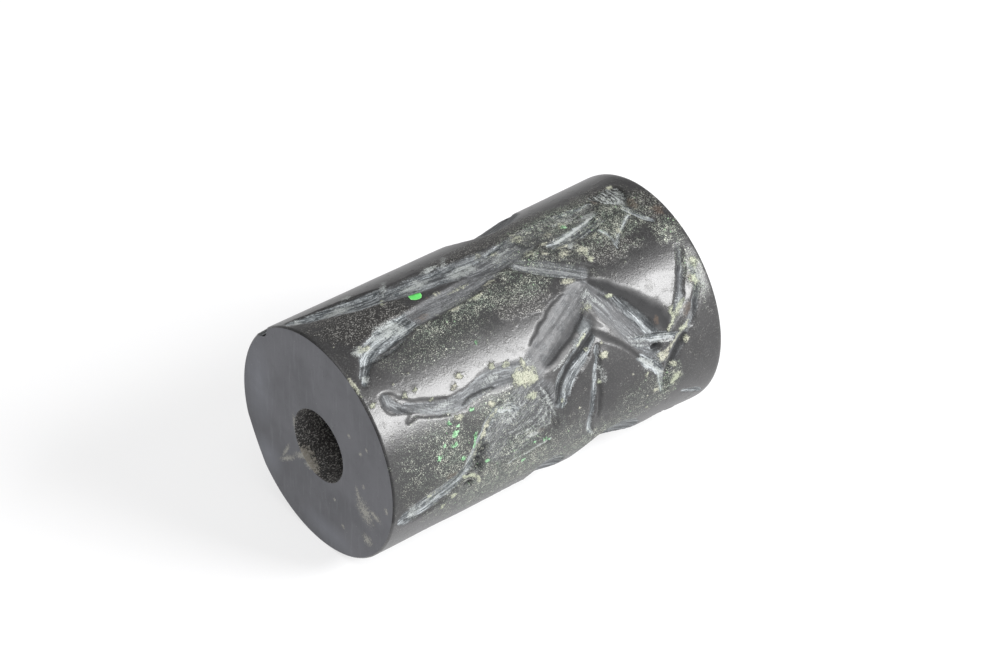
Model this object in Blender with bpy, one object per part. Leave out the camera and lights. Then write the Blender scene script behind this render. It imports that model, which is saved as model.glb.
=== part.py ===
"""Cylinder seal of dark stone, lying on its side. Metres, +Z up.

The barrel's axis runs along X. The engraving is laid out on the barrel rolled flat, in millimetres
along the axis from mid-length and in degrees of turn from the top towards -Y. Its figures stand with
their feet at -X.
"""
import math

import bmesh
import bpy
import numpy as np

MM = 0.001

# The blank, in millimetres
BARREL_RADIUS = 10.25
BARREL_LENGTH = 34.4
WAIST_DEPTH = 0.06
FAR_FLARE = 0.08
NEAR_BEVEL = 0.12
FAR_ROUNDING = 0.6
FAR_ROUNDING_DEPTH = 0.12
BORE_MOUTH_RADIUS = 3.2
BORE_MIDDLE_RADIUS = 2.95
BORE_OFFSET_Y = -0.2
BORE_OFFSET_Z = -0.15
BORE_MOUTH_BEVEL = 0.1
REST_FLAT_DEPTH = 0.1

# How the drawn figures are set on the barrel: moved, then drawn in to a share of their size
LAYOUT_MOVE_ALONG = -0.15
LAYOUT_MOVE_ROUND = 1.1
LAYOUT_SHARE_ALONG = 0.993
LAYOUT_SHARE_ROUND = 0.973

# The lattice that is carved, and the triangles that are kept of it
COLUMNS = 240
BARREL_RINGS = 116
FAR_EDGE_SHARES = (0.65, 0.35, 0.12, 0.0)
BORE_RINGS = 9
KEPT_TRIANGLES = 9200

TOOL_STEP = 0.15
TAPER = 4.0
SHARP_EDGE = math.radians(40)
HALF_LENGTH = BARREL_LENGTH / 2
AXIS_HEIGHT = BARREL_RADIUS - REST_FLAT_DEPTH


def remove_everything():
    for item in list(bpy.data.objects):
        bpy.data.objects.remove(item, do_unlink=True)


class Engraving:
    """How deep the stone is cut at each place of the rolled-out barrel."""

    def __init__(self, along, turn):
        self.along = along
        self.turn = turn
        self.depth = np.zeros_like(along)

    def offsets(self, along, turn):
        """Distances in millimetres from one drawn place, along the axis and round the barrel."""
        place_along = LAYOUT_MOVE_ALONG + LAYOUT_SHARE_ALONG * along
        place_turn = LAYOUT_MOVE_ROUND + LAYOUT_SHARE_ROUND * turn
        round_turn = (self.turn - place_turn + 180.0) % 360.0 - 180.0
        return self.along - place_along, np.radians(round_turn) * BARREL_RADIUS

    def scoop(self, along, turn, half_length, half_width, depth, lean=0.0):
        """An oval hollow. Its long side is turned by lean degrees from the axis."""
        run, rise = self.offsets(along, turn)
        cosine, sine = math.cos(math.radians(lean)), math.sin(math.radians(lean))
        first = (run * cosine + rise * sine) / half_length
        second = (rise * cosine - run * sine) / half_width
        bowl = depth * (1.0 - first ** 2 - second ** 2)
        np.maximum(self.depth, bowl, out=self.depth)

    def stroke(self, places, width, depth, start=0.5, end=0.5):
        """A gouge cut through the places, whose width and depth fall to a share at both ends."""
        path = rounded_path(places)
        share = np.linspace(0.0, 1.0, len(path))
        swell = np.minimum(start + TAPER * share, end + TAPER * (1.0 - share)).clip(max=1.0)
        for (along, turn), size in zip(path, swell):
            self.scoop(along, turn, width / 2 * size, width / 2 * size, depth * size)


def rounded_path(places):
    """Points a tool step apart on a smooth curve through the places."""
    knots = np.array(places, dtype=float)
    knots = np.vstack([2 * knots[0] - knots[1], knots, 2 * knots[-1] - knots[-2]])
    points = []
    for before, first, last, after in zip(knots, knots[1:], knots[2:], knots[3:]):
        rise = math.radians(last[1] - first[1]) * BARREL_RADIUS
        count = max(2, round(math.hypot(last[0] - first[0], rise) / TOOL_STEP))
        for share in np.arange(count) / count:
            bend = (2 * before - 5 * first + 4 * last - after) * share ** 2
            twist = (3 * first - before - 3 * last + after) * share ** 3
            points.append(first + (last - before) * share / 2 + bend / 2 + twist / 2)
    points.append(knots[-2])
    return points


def carve_hero(cut):
    """The striding hero: two legs, a body, and an arm that holds the horned animal's neck."""
    cut.stroke([(-15.9, -25), (-12, -18), (-8, -13), (-4, -10), (0, -5)], 2.7, 0.34)
    cut.stroke([(-15.4, 27), (-14.6, 18), (-12, 11), (-8, 8), (-4, 7), (0, 4)], 2.0, 0.34)
    cut.stroke([(-0.5, -1), (3, -3), (6, -4)], 4.4, 0.42, 0.8, 0.8)
    cut.stroke([(4.5, -6), (7, -3), (9.5, -3)], 3.6, 0.36, 0.8, 0.8)
    cut.stroke([(1.8, 3), (2.8, 11), (4.2, 19), (6, 28)], 1.7, 0.32)
    cut.stroke([(6.0, 8.5), (8.6, 6), (11.8, 2)], 1.3, 0.32)
    cut.stroke([(14, -13), (14.2, -2), (14.5, 10), (15.2, 17)], 1.9, 0.34)
    cut.stroke([(10.5, 10), (11.4, 16), (12.6, 15), (14, 13)], 0.8, 0.2)


def carve_horned_animal(cut):
    """The rearing animal that looks back: legs, haunch, body, neck, head and long horn."""
    cut.scoop(-15, 43, 0.95, 0.8, 0.26)
    cut.stroke([(-14.6, 45), (-12, 51.5), (-9.6, 57.5), (-6.5, 53), (-3, 56)], 1.35, 0.26)
    cut.scoop(-3.8, 80, 4.2, 2.9, 0.36, -30)
    cut.stroke([(-6.2, 69), (-8, 79), (-9.4, 90), (-12, 99), (-15.7, 103)], 1.3, 0.34)
    cut.stroke([(-1.0, 56), (1.5, 48), (4.2, 42), (6.2, 34)], 3.4, 0.4, 0.9, 0.6)
    cut.stroke([(4.8, 51), (3, 60), (1, 68), (-0.6, 80)], 1.8, 0.55)
    cut.stroke([(6, 34), (7.4, 47), (8.6, 60), (10, 74)], 3.2, 0.42, 0.7, 0.9)
    cut.stroke([(7.4, 33), (9, 46), (10.6, 60), (11.6, 68)], 1.5, 0.6)
    cut.stroke([(5, 50), (6, 60), (7.4, 68), (9, 80), (10.8, 92), (11.2, 100)], 1.1, 0.42)
    cut.stroke([(11.8, 73), (11.6, 82), (11.2, 92)], 1.6, 0.36)
    cut.stroke([(12.2, 72), (14, 63), (15, 52), (15.8, 39)], 1.0, 0.3)
    cut.stroke([(13.2, 75), (15, 67), (16, 57), (16.3, 48)], 0.9, 0.26)
    cut.scoop(12.4, 53, 3.0, 2.2, 0.12)
    cut.stroke([(4.8, 61), (4.2, 75), (3.7, 90), (3.7, 108)], 0.8, 0.24)


def carve_bull_man(cut):
    """The bull-man who takes the second animal: chest, hips, two legs, head, horns and arm."""
    cut.scoop(6.9, 138, 3.7, 4.3, 0.85)
    cut.scoop(0.1, 134, 2.1, 3.3, 0.5)
    cut.stroke([(-2.5, 134), (-8, 140), (-11.5, 137), (-15.5, 142)], 1.6, 0.34)
    cut.stroke([(-2.5, 139), (-7.5, 151), (-12, 150), (-15.5, 159)], 1.6, 0.34)
    cut.scoop(13.1, 137, 1.5, 1.3, 0.4)
    cut.stroke([(14.4, 134), (15.8, 138), (14.4, 143)], 0.7, 0.22)
    cut.stroke([(7, 139), (9, 148), (8.2, 158), (9, 167)], 1.5, 0.34)


def carve_lion(cut):
    """The rearing lion: chest, haunch, head with open jaws, four legs and a raised tail."""
    cut.scoop(4.8, 206, 2.9, 3.4, 0.55, 20)
    cut.stroke([(3.4, 209), (-0.5, 214), (-4.5, 220)], 2.4, 0.4, 0.9, 0.9)
    cut.scoop(-5.4, 222, 2.7, 2.4, 0.5)
    cut.scoop(10.6, 199, 1.7, 1.9, 0.42)
    cut.stroke([(11.4, 195), (12.4, 188)], 1.0, 0.26)
    cut.stroke([(10.2, 194), (9.5, 188)], 0.9, 0.24)
    cut.stroke([(6.2, 201), (8.4, 187), (9.4, 173)], 1.3, 0.3)
    cut.stroke([(-6.4, 217), (-10, 207), (-12.5, 211), (-15.6, 203)], 1.4, 0.32)
    cut.stroke([(-6.9, 227), (-10.5, 233), (-12.6, 229), (-15.6, 233)], 1.4, 0.32)
    cut.stroke([(-4, 231), (-1, 239), (3, 240), (5.6, 236)], 0.8, 0.22)


def carve_robed_figure(cut):
    """The long-robed figure behind the lion: a fluted robe, chest, head and two arms."""
    for turn_at_hem in (257, 266, 275, 284):
        turn_at_belt = 270 + 0.55 * (turn_at_hem - 270)
        cut.stroke([(0.8, turn_at_belt), (-15.2, turn_at_hem)], 1.3, 0.3, 0.6, 0.9)
    cut.scoop(4.4, 270, 3.2, 2.6, 0.45)
    cut.scoop(12.0, 270, 1.6, 1.4, 0.4)
    cut.stroke([(6.6, 266), (7.6, 256), (5.8, 247)], 1.2, 0.3)
    cut.stroke([(6.2, 275), (7.4, 286), (5.4, 295)], 1.2, 0.3)


def carve_kid(cut):
    """The small goat behind the hero: body, neck, head, curled horn and two hind legs."""
    cut.scoop(4.8, -44, 3.9, 3.6, 0.8)
    cut.stroke([(6.5, -45), (8.6, -49), (10.8, -52)], 1.4, 0.3)
    cut.stroke([(11, -51), (13, -48), (13.8, -54), (12.4, -59)], 0.7, 0.2)
    cut.stroke([(2.2, -42), (-4, -55), (-9, -50), (-15.5, -57)], 1.2, 0.28)
    cut.stroke([(1.8, -46), (-5, -65), (-9.5, -61), (-15.5, -69)], 1.2, 0.28)


def chip_the_rims(cut):
    """Old chips at the near end's edge, and a scratch beside the far end's."""
    cut.scoop(-HALF_LENGTH, -48, 0.9, 0.9, 0.4)
    cut.scoop(-HALF_LENGTH, -124, 0.5, 2.4, 0.16)
    cut.stroke([(13.8, 112), (15.4, 117), (16.4, 122)], 0.7, 0.1)


def blank_radius(along):
    """The radius before engraving: a faint waist, a near bevel, and a flared, rounded far end."""
    share = along / HALF_LENGTH
    radius = BARREL_RADIUS - WAIST_DEPTH * (1.0 - share ** 2) + FAR_FLARE * np.maximum(share, 0.0) ** 2
    bevelled = np.clip((NEAR_BEVEL - (along + HALF_LENGTH)) / NEAR_BEVEL, 0.0, 1.0)
    worn = np.clip((FAR_ROUNDING - (HALF_LENGTH - along)) / FAR_ROUNDING, 0.0, 1.0)
    return radius - NEAR_BEVEL * bevelled - FAR_ROUNDING_DEPTH * (1.0 - np.sqrt(1.0 - worn ** 2))


def barrel_radii():
    """Places along the axis, and the engraved radius at each place and turn."""
    inside = np.linspace(-HALF_LENGTH + NEAR_BEVEL, HALF_LENGTH - FAR_ROUNDING, BARREL_RINGS)
    edge = HALF_LENGTH - FAR_ROUNDING * np.array(FAR_EDGE_SHARES)
    along = np.concatenate([[-HALF_LENGTH], inside, edge])
    turn = np.arange(COLUMNS) * 360.0 / COLUMNS
    lattice_along, lattice_turn = np.meshgrid(along, turn, indexing="ij")
    cut = Engraving(lattice_along, lattice_turn)
    carve_hero(cut)
    carve_horned_animal(cut)
    carve_bull_man(cut)
    carve_lion(cut)
    carve_robed_figure(cut)
    carve_kid(cut)
    chip_the_rims(cut)
    return along, blank_radius(lattice_along) - cut.depth


def barrel_loops():
    """Closed loops of points round the barrel, cut flat where the seal lies."""
    along, radii = barrel_radii()
    turn = np.arange(COLUMNS) * 2 * math.pi / COLUMNS
    loops = []
    for place, ring in zip(along, radii):
        across = -ring * np.sin(turn)
        height = np.maximum(AXIS_HEIGHT + ring * np.cos(turn), 0.0)
        loops.append(np.stack([np.full(COLUMNS, place), across, height], axis=1))
    return loops


def bore_loops():
    """Loops of points through the bore from the far end back to the near end.

    It was drilled from both ends, so it narrows to the middle, and its mouths are a little worn.
    """
    turn = np.arange(COLUMNS) * 2 * math.pi / COLUMNS
    inner = HALF_LENGTH - BORE_MOUTH_BEVEL
    places = np.concatenate([[HALF_LENGTH], np.linspace(inner, -inner, BORE_RINGS), [-HALF_LENGTH]])
    loops = []
    for place in places:
        taper = abs(place) / HALF_LENGTH
        radius = BORE_MIDDLE_RADIUS + (BORE_MOUTH_RADIUS - BORE_MIDDLE_RADIUS) * taper
        if abs(place) == HALF_LENGTH:
            radius += BORE_MOUTH_BEVEL
        across = BORE_OFFSET_Y - radius * np.sin(turn)
        height = AXIS_HEIGHT + BORE_OFFSET_Z + radius * np.cos(turn)
        loops.append(np.stack([np.full(COLUMNS, place), across, height], axis=1))
    return loops


def stone_material():
    material = bpy.data.materials.new("stone")
    material.use_nodes = True
    shader = material.node_tree.nodes["Principled BSDF"]
    shader.inputs["Base Color"].default_value = (0.035, 0.037, 0.04, 1.0)
    shader.inputs["Roughness"].default_value = 0.35
    shader.inputs["Metallic"].default_value = 0.0
    return material


def make_seal():
    """Bridges the loops over the barrel and back through the bore into one closed body."""
    mesh = bpy.data.meshes.new("seal")
    body = bmesh.new()
    rings = []
    for loop in barrel_loops() + bore_loops():
        rings.append([body.verts.new(point * MM) for point in loop])
    for ring, following in zip(rings, rings[1:] + rings[:1]):
        for column in range(COLUMNS):
            beside = (column + 1) % COLUMNS
            body.faces.new((ring[column], ring[beside], following[beside], following[column]))
    bmesh.ops.recalc_face_normals(body, faces=body.faces)
    bmesh.ops.triangulate(body, faces=body.faces)
    triangles = len(body.faces)
    body.to_mesh(mesh)
    body.free()
    mesh.shade_smooth()
    mesh.set_sharp_from_angle(angle=SHARP_EDGE)
    mesh.materials.append(stone_material())
    seal = bpy.data.objects.new("seal", mesh)
    bpy.context.scene.collection.objects.link(seal)
    thin_out = seal.modifiers.new("thin_out", "DECIMATE")
    thin_out.ratio = KEPT_TRIANGLES / triangles
    return seal


remove_everything()
make_seal()
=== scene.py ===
"""A cylinder seal of dark stone, lying on its side on a pale floor."""
import math

import bpy
import numpy as np
from mathutils import Matrix, Vector


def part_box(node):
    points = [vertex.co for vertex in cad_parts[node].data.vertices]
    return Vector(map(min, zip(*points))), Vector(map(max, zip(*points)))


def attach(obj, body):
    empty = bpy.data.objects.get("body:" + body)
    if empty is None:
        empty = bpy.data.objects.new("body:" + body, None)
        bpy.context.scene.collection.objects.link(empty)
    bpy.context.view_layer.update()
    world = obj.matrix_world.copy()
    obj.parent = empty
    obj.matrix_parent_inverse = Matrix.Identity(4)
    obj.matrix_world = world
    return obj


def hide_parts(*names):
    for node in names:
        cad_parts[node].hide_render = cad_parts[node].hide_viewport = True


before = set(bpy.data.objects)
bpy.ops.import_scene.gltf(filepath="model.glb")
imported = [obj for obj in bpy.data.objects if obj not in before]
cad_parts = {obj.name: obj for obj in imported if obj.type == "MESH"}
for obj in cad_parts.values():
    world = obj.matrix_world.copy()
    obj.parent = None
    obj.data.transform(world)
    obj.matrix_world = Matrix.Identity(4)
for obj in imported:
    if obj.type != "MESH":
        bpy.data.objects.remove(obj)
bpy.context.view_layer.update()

# The blank. The seal is one short cylinder of dark, fine-grained stone. It was ground to shape,
# polished round the barrel and drilled along its length from both ends, so that its bore narrows
# to the middle. Its near edge is crisp, and its far edge is worn round.

MM = 0.001
low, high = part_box("seal")
HALF_LENGTH = high.x / MM
AXIS_HEIGHT = (high.z - high.y) / MM
REST_FLAT_DEPTH = 0.1
BARREL_RADIUS = AXIS_HEIGHT + REST_FLAT_DEPTH
WAIST_DEPTH = 0.06
FAR_FLARE = 0.08
NEAR_BEVEL = 0.12
FAR_ROUNDING = 0.6
FAR_ROUNDING_DEPTH = 0.12
BORE_MOUTH_RADIUS = 3.2
BORE_MIDDLE_RADIUS = 2.95
BORE_MOUTH_BEVEL = 0.1
BORE_OFFSET_Y = -0.2
BORE_OFFSET_Z = -0.15
NEAR_END_RINGS = 25
BARREL_RINGS = 222
FAR_EDGE_SHARES = (0.8, 0.6, 0.42, 0.26, 0.12, 0.03, 0.0)
FAR_END_RINGS = 7
BORE_RINGS = 9
COLUMNS = 356
COLUMN_CROWDING = 0.35
CROWDED_TURN = math.radians(45)
BARREL, ENDS, BORE = range(3)


def blank_radius(along):
    """The radius before engraving: a faint waist, a near bevel, and a flared, rounded far end."""
    share = along / HALF_LENGTH
    radius = BARREL_RADIUS - WAIST_DEPTH * (1.0 - share ** 2) + FAR_FLARE * np.maximum(share, 0.0) ** 2
    bevelled = np.clip((NEAR_BEVEL - (along + HALF_LENGTH)) / NEAR_BEVEL, 0.0, 1.0)
    worn = np.clip((FAR_ROUNDING - (HALF_LENGTH - along)) / FAR_ROUNDING, 0.0, 1.0)
    return radius - NEAR_BEVEL * bevelled - FAR_ROUNDING_DEPTH * (1.0 - np.sqrt(1.0 - worn ** 2))


def bore_radius(along):
    """The radius of the bore, which was drilled from both ends."""
    return BORE_MIDDLE_RADIUS + (BORE_MOUTH_RADIUS - BORE_MIDDLE_RADIUS) * abs(along) / HALF_LENGTH


def end_station(along, share):
    """A station on an end. The share goes from 0 at the bore's mouth to 1 at the rim."""
    mouth = BORE_MOUTH_RADIUS + BORE_MOUTH_BEVEL
    return along, mouth + (blank_radius(along) - mouth) * share, 1.0 - share


def outline_of_the_blank():
    """Stations (along, radius, share of the bore's offset), and the stations where parts meet."""
    stations = [end_station(-HALF_LENGTH, share) for share in np.linspace(0.0, 1.0, NEAR_END_RINGS)[:-1]]
    barrel_start = len(stations)
    inside = np.linspace(-HALF_LENGTH + NEAR_BEVEL, HALF_LENGTH - FAR_ROUNDING, BARREL_RINGS)
    edge = HALF_LENGTH - FAR_ROUNDING * np.array(FAR_EDGE_SHARES)
    for along in np.concatenate([[-HALF_LENGTH], inside, edge]):
        stations.append((along, float(blank_radius(along)), 0.0))
    barrel_end = len(stations) - 1
    stations += [end_station(HALF_LENGTH, share) for share in np.linspace(1.0, 0.0, FAR_END_RINGS)[1:]]
    bore_start = len(stations) - 1
    inner = HALF_LENGTH - BORE_MOUTH_BEVEL
    stations += [(along, bore_radius(along), 1.0) for along in np.linspace(inner, -inner, BORE_RINGS)]
    stations.append(stations[0])
    return stations, (barrel_start, barrel_end, bore_start)


class Value:
    """A value, colour or vector in a node tree. Arithmetic on it adds Math nodes."""

    def __init__(self, tree, socket):
        self.tree = tree
        self.socket = socket

    def math(self, operation, first, second=0.0):
        return self.tree.add("ShaderNodeMath", {"operation": operation}, {0: first, 1: second})

    def other(self, name):
        """Another output of the node that this value comes from."""
        return Value(self.tree, self.socket.node.outputs[name])

    def __add__(self, other):
        return self.math("ADD", self, other)

    def __radd__(self, other):
        return self.math("ADD", other, self)

    def __sub__(self, other):
        return self.math("SUBTRACT", self, other)

    def __rsub__(self, other):
        return self.math("SUBTRACT", other, self)

    def __mul__(self, other):
        return self.math("MULTIPLY", self, other)

    def __rmul__(self, other):
        return self.math("MULTIPLY", other, self)

    def __truediv__(self, other):
        return self.math("DIVIDE", self, other)

    def __pow__(self, other):
        return self.math("POWER", self, other)

    def floor(self):
        return self.math("FLOOR", self)

    def sine(self):
        return self.math("SINE", self)

    def cosine(self):
        return self.math("COSINE", self)

    def over(self, other):
        """1 where this is over the other, and 0 elsewhere."""
        return self.math("GREATER_THAN", self, other)

    def kept_in(self, low=0.0, high=1.0):
        return self.math("MINIMUM", self.math("MAXIMUM", self, low), high)

    def more_of(self, other):
        return self.math("MAXIMUM", self, other)

    def rising(self, start, end):
        """0 where this is below start, 1 above end, and a soft step between."""
        settings = {"interpolation_type": "SMOOTHSTEP"}
        inputs = {"Value": self, "From Min": start, "From Max": end, "To Min": 0.0, "To Max": 1.0}
        return self.tree.add("ShaderNodeMapRange", settings, inputs)


class Tree:
    """A node tree that is put together node by node."""

    def __init__(self, nodes):
        self.tree = nodes

    def feed(self, socket, value):
        if isinstance(value, Value):
            self.tree.links.new(value.socket, socket)
        else:
            socket.default_value = value

    def add(self, kind, settings=None, inputs=None, output=0):
        node = self.tree.nodes.new(kind)
        for name, setting in (settings or {}).items():
            setattr(node, name, setting)
        for name, value in (inputs or {}).items():
            self.feed(node.inputs[name], value)
        return Value(self, node.outputs[output])


def turning_lathe():
    """Geometry Nodes that turn an outline of stations about the axis into a closed body."""
    group = bpy.data.node_groups.new("turned_blank", "GeometryNodeTree")
    sizes = [
        ("Outline", "NodeSocketGeometry"),
        ("Stations", "NodeSocketInt"),
        ("Columns", "NodeSocketInt"),
        ("Axis Height", "NodeSocketFloat"),
        ("Bore Offset", "NodeSocketVector"),
        ("Crowding", "NodeSocketFloat"),
        ("Crowded Turn", "NodeSocketFloat"),
        ("Barrel Start", "NodeSocketInt"),
        ("Barrel End", "NodeSocketInt"),
        ("Bore Start", "NodeSocketInt"),
        ("Barrel Finish", "NodeSocketMaterial"),
        ("End Finish", "NodeSocketMaterial"),
        ("Bore Finish", "NodeSocketMaterial"),
    ]
    for name, kind in sizes:
        group.interface.new_socket(name, in_out="INPUT", socket_type=kind)
    group.interface.new_socket("Blank", in_out="OUTPUT", socket_type="NodeSocketGeometry")
    tree = Tree(group)
    given = group.nodes.new("NodeGroupInput")
    size = {name: Value(tree, given.outputs[name]) for name, kind in sizes}
    across = size["Columns"] + 1
    grid = tree.add("GeometryNodeMeshGrid", None, {"Vertices X": size["Stations"], "Vertices Y": across})
    place = tree.add("GeometryNodeInputIndex")
    station = ((place + 0.5) / across).floor()
    column = place - station * across
    even_turn = column / size["Columns"] * math.tau
    turn = even_turn - size["Crowding"] * (even_turn - size["Crowded Turn"]).sine()
    sampled = tree.add(
        "GeometryNodeSampleIndex",
        {"data_type": "FLOAT_VECTOR"},
        {"Geometry": size["Outline"], "Value": tree.add("GeometryNodeInputPosition"), "Index": station},
    )
    along = tree.add("ShaderNodeSeparateXYZ", None, {0: sampled})
    radius = along.other("Y")
    height = size["Axis Height"] + radius * turn.cosine()
    spun = tree.add("ShaderNodeCombineXYZ", None, {"X": along, "Y": 0.0 - radius * turn.sine(), "Z": height})
    offset = {0: size["Bore Offset"], "Scale": along.other("Z")}
    aside = tree.add("ShaderNodeVectorMath", {"operation": "SCALE"}, offset)
    body = tree.add("GeometryNodeSetPosition", None, {"Geometry": grid, "Position": spun, "Offset": aside})
    body = tree.add("GeometryNodeSetMaterial", None, {"Geometry": body, "Material": size["End Finish"]})
    row = ((place + 0.5) / size["Columns"]).floor()
    for finish, start in (("Barrel Finish", "Barrel Start"), ("End Finish", "Barrel End"),
                          ("Bore Finish", "Bore Start")):
        inputs = {"Geometry": body, "Selection": row.over(size[start] - 0.5), "Material": size[finish]}
        body = tree.add("GeometryNodeSetMaterial", None, inputs)
    body = tree.add("GeometryNodeMergeByDistance", None, {"Geometry": body, "Distance": MM * MM})
    body = tree.add("GeometryNodeFlipFaces", None, {"Mesh": body})
    body = tree.add("GeometryNodeRealizeInstances", None, {"Geometry": body})
    result = group.nodes.new("NodeGroupOutput")
    group.links.new(body.socket, result.inputs["Blank"])
    return group


def show(name, data):
    """A new object in the scene."""
    shown = bpy.data.objects.new(name, data)
    bpy.context.scene.collection.objects.link(shown)
    return shown


def turn_the_blank(finishes):
    """The blank as a plain mesh: barrel, ends and bore in one closed body."""
    stations, (barrel_start, barrel_end, bore_start) = outline_of_the_blank()
    outline = bpy.data.meshes.new("outline")
    outline.from_pydata([(along * MM, radius * MM, share) for along, radius, share in stations], [], [])
    drawn = show("outline", outline)
    lathe = drawn.modifiers.new("lathe", "NODES")
    lathe.node_group = turning_lathe()
    given = {
        "Stations": len(stations),
        "Columns": COLUMNS,
        "Axis Height": AXIS_HEIGHT * MM,
        "Bore Offset": (0.0, BORE_OFFSET_Y * MM, BORE_OFFSET_Z * MM),
        "Crowding": COLUMN_CROWDING,
        "Crowded Turn": CROWDED_TURN,
        "Barrel Start": barrel_start,
        "Barrel End": barrel_end,
        "Bore Start": bore_start,
        "Barrel Finish": finishes[BARREL],
        "End Finish": finishes[ENDS],
        "Bore Finish": finishes[BORE],
    }
    for item in lathe.node_group.interface.items_tree:
        if item.name in given:
            lathe[item.identifier] = given[item.name]
    turned = drawn.evaluated_get(bpy.context.evaluated_depsgraph_get())
    mesh = bpy.data.meshes.new_from_object(turned)
    mesh.name = "seal_stone"
    bpy.data.objects.remove(drawn)
    return mesh


finishes = [bpy.data.materials.new(name) for name in ("polished_stone", "ground_ends", "drilled_bore")]
stone_mesh = turn_the_blank(finishes)

# The engraving. The figures are cut into the barrel with gravers and small drills, so they stand
# out when the seal is rolled over clay. Their feet are at the near end. They are laid out on the
# barrel rolled flat, in millimetres along the axis and in degrees of turn from the top.

GIRTH = math.tau * BARREL_RADIUS
LAYOUT_MOVE_ALONG = -0.15
LAYOUT_MOVE_ROUND = 1.1
LAYOUT_SHARE_ALONG = 0.993
LAYOUT_SHARE_ROUND = 0.973
PATH_STEP = 0.12
STROKE_TAPER = 0.9
STROKE_MARGIN = 0.4
STROKE_SPACING = 3.7
RIB_LENGTH = 3.0
RIB_PITCH = 0.34
SCOOP_RIM = 0.25
RAGGEDNESS = 0.4
SEED_STEP = 7.31
HASH_STEPS = (374761393, 668265263, 1442695041)
HASH_MIX = 1274126177


def unevenness(points, size, seed=0.0):
    """Smooth noise from -1 to 1 at every point, with lumps about size across."""
    cells = np.asarray(points) / size + seed * SEED_STEP
    corner = np.floor(cells).astype(np.int64)
    share = cells - corner
    share = share * share * (3.0 - 2.0 * share)
    total = np.zeros(len(cells))
    for step in np.ndindex(2, 2, 2):
        mixed = ((corner + step) * HASH_STEPS).sum(axis=1)
        mixed = (mixed ^ (mixed >> 13)) * HASH_MIX
        level = ((mixed ^ (mixed >> 16)) & 0xFFFF) / 32767.5 - 1.0
        total += level * np.prod(np.where(step, share, 1.0 - share), axis=1)
    return total


def set_on_barrel(along, turn):
    """Millimetres along and round the barrel for a drawn place, whose turn is in degrees."""
    round_turn = LAYOUT_MOVE_ROUND + LAYOUT_SHARE_ROUND * turn
    return LAYOUT_MOVE_ALONG + LAYOUT_SHARE_ALONG * along, round_turn * GIRTH / 360.0


def rounded_path(places):
    """Points a step apart on a smooth curve through places (along, turn, width), in millimetres."""
    knots = np.array(places, dtype=float)
    knots[:, 0], knots[:, 1] = set_on_barrel(knots[:, 0], knots[:, 1])
    knots = np.vstack([2 * knots[0] - knots[1], knots, 2 * knots[-1] - knots[-2]])
    points = []
    for before, first, last, after in zip(knots, knots[1:], knots[2:], knots[3:]):
        count = max(2, round(math.dist(first[:2], last[:2]) / PATH_STEP))
        share = np.arange(count)[:, None] / count
        bend = (2 * before - 5 * first + 4 * last - after) * share ** 2
        twist = (3 * first - before - 3 * last + after) * share ** 3
        points.append(first + (last - before) * share / 2 + bend / 2 + twist / 2)
    points.append(knots[-2:-1])
    return np.vstack(points)


def read(elements, name, width=1, kind=np.int64):
    """One property of a mesh's vertices, corners or faces, as an array."""
    values = np.empty(len(elements) * width, dtype=kind)
    elements.foreach_get(name, values)
    return values.reshape(-1, width) if width > 1 else values


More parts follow.
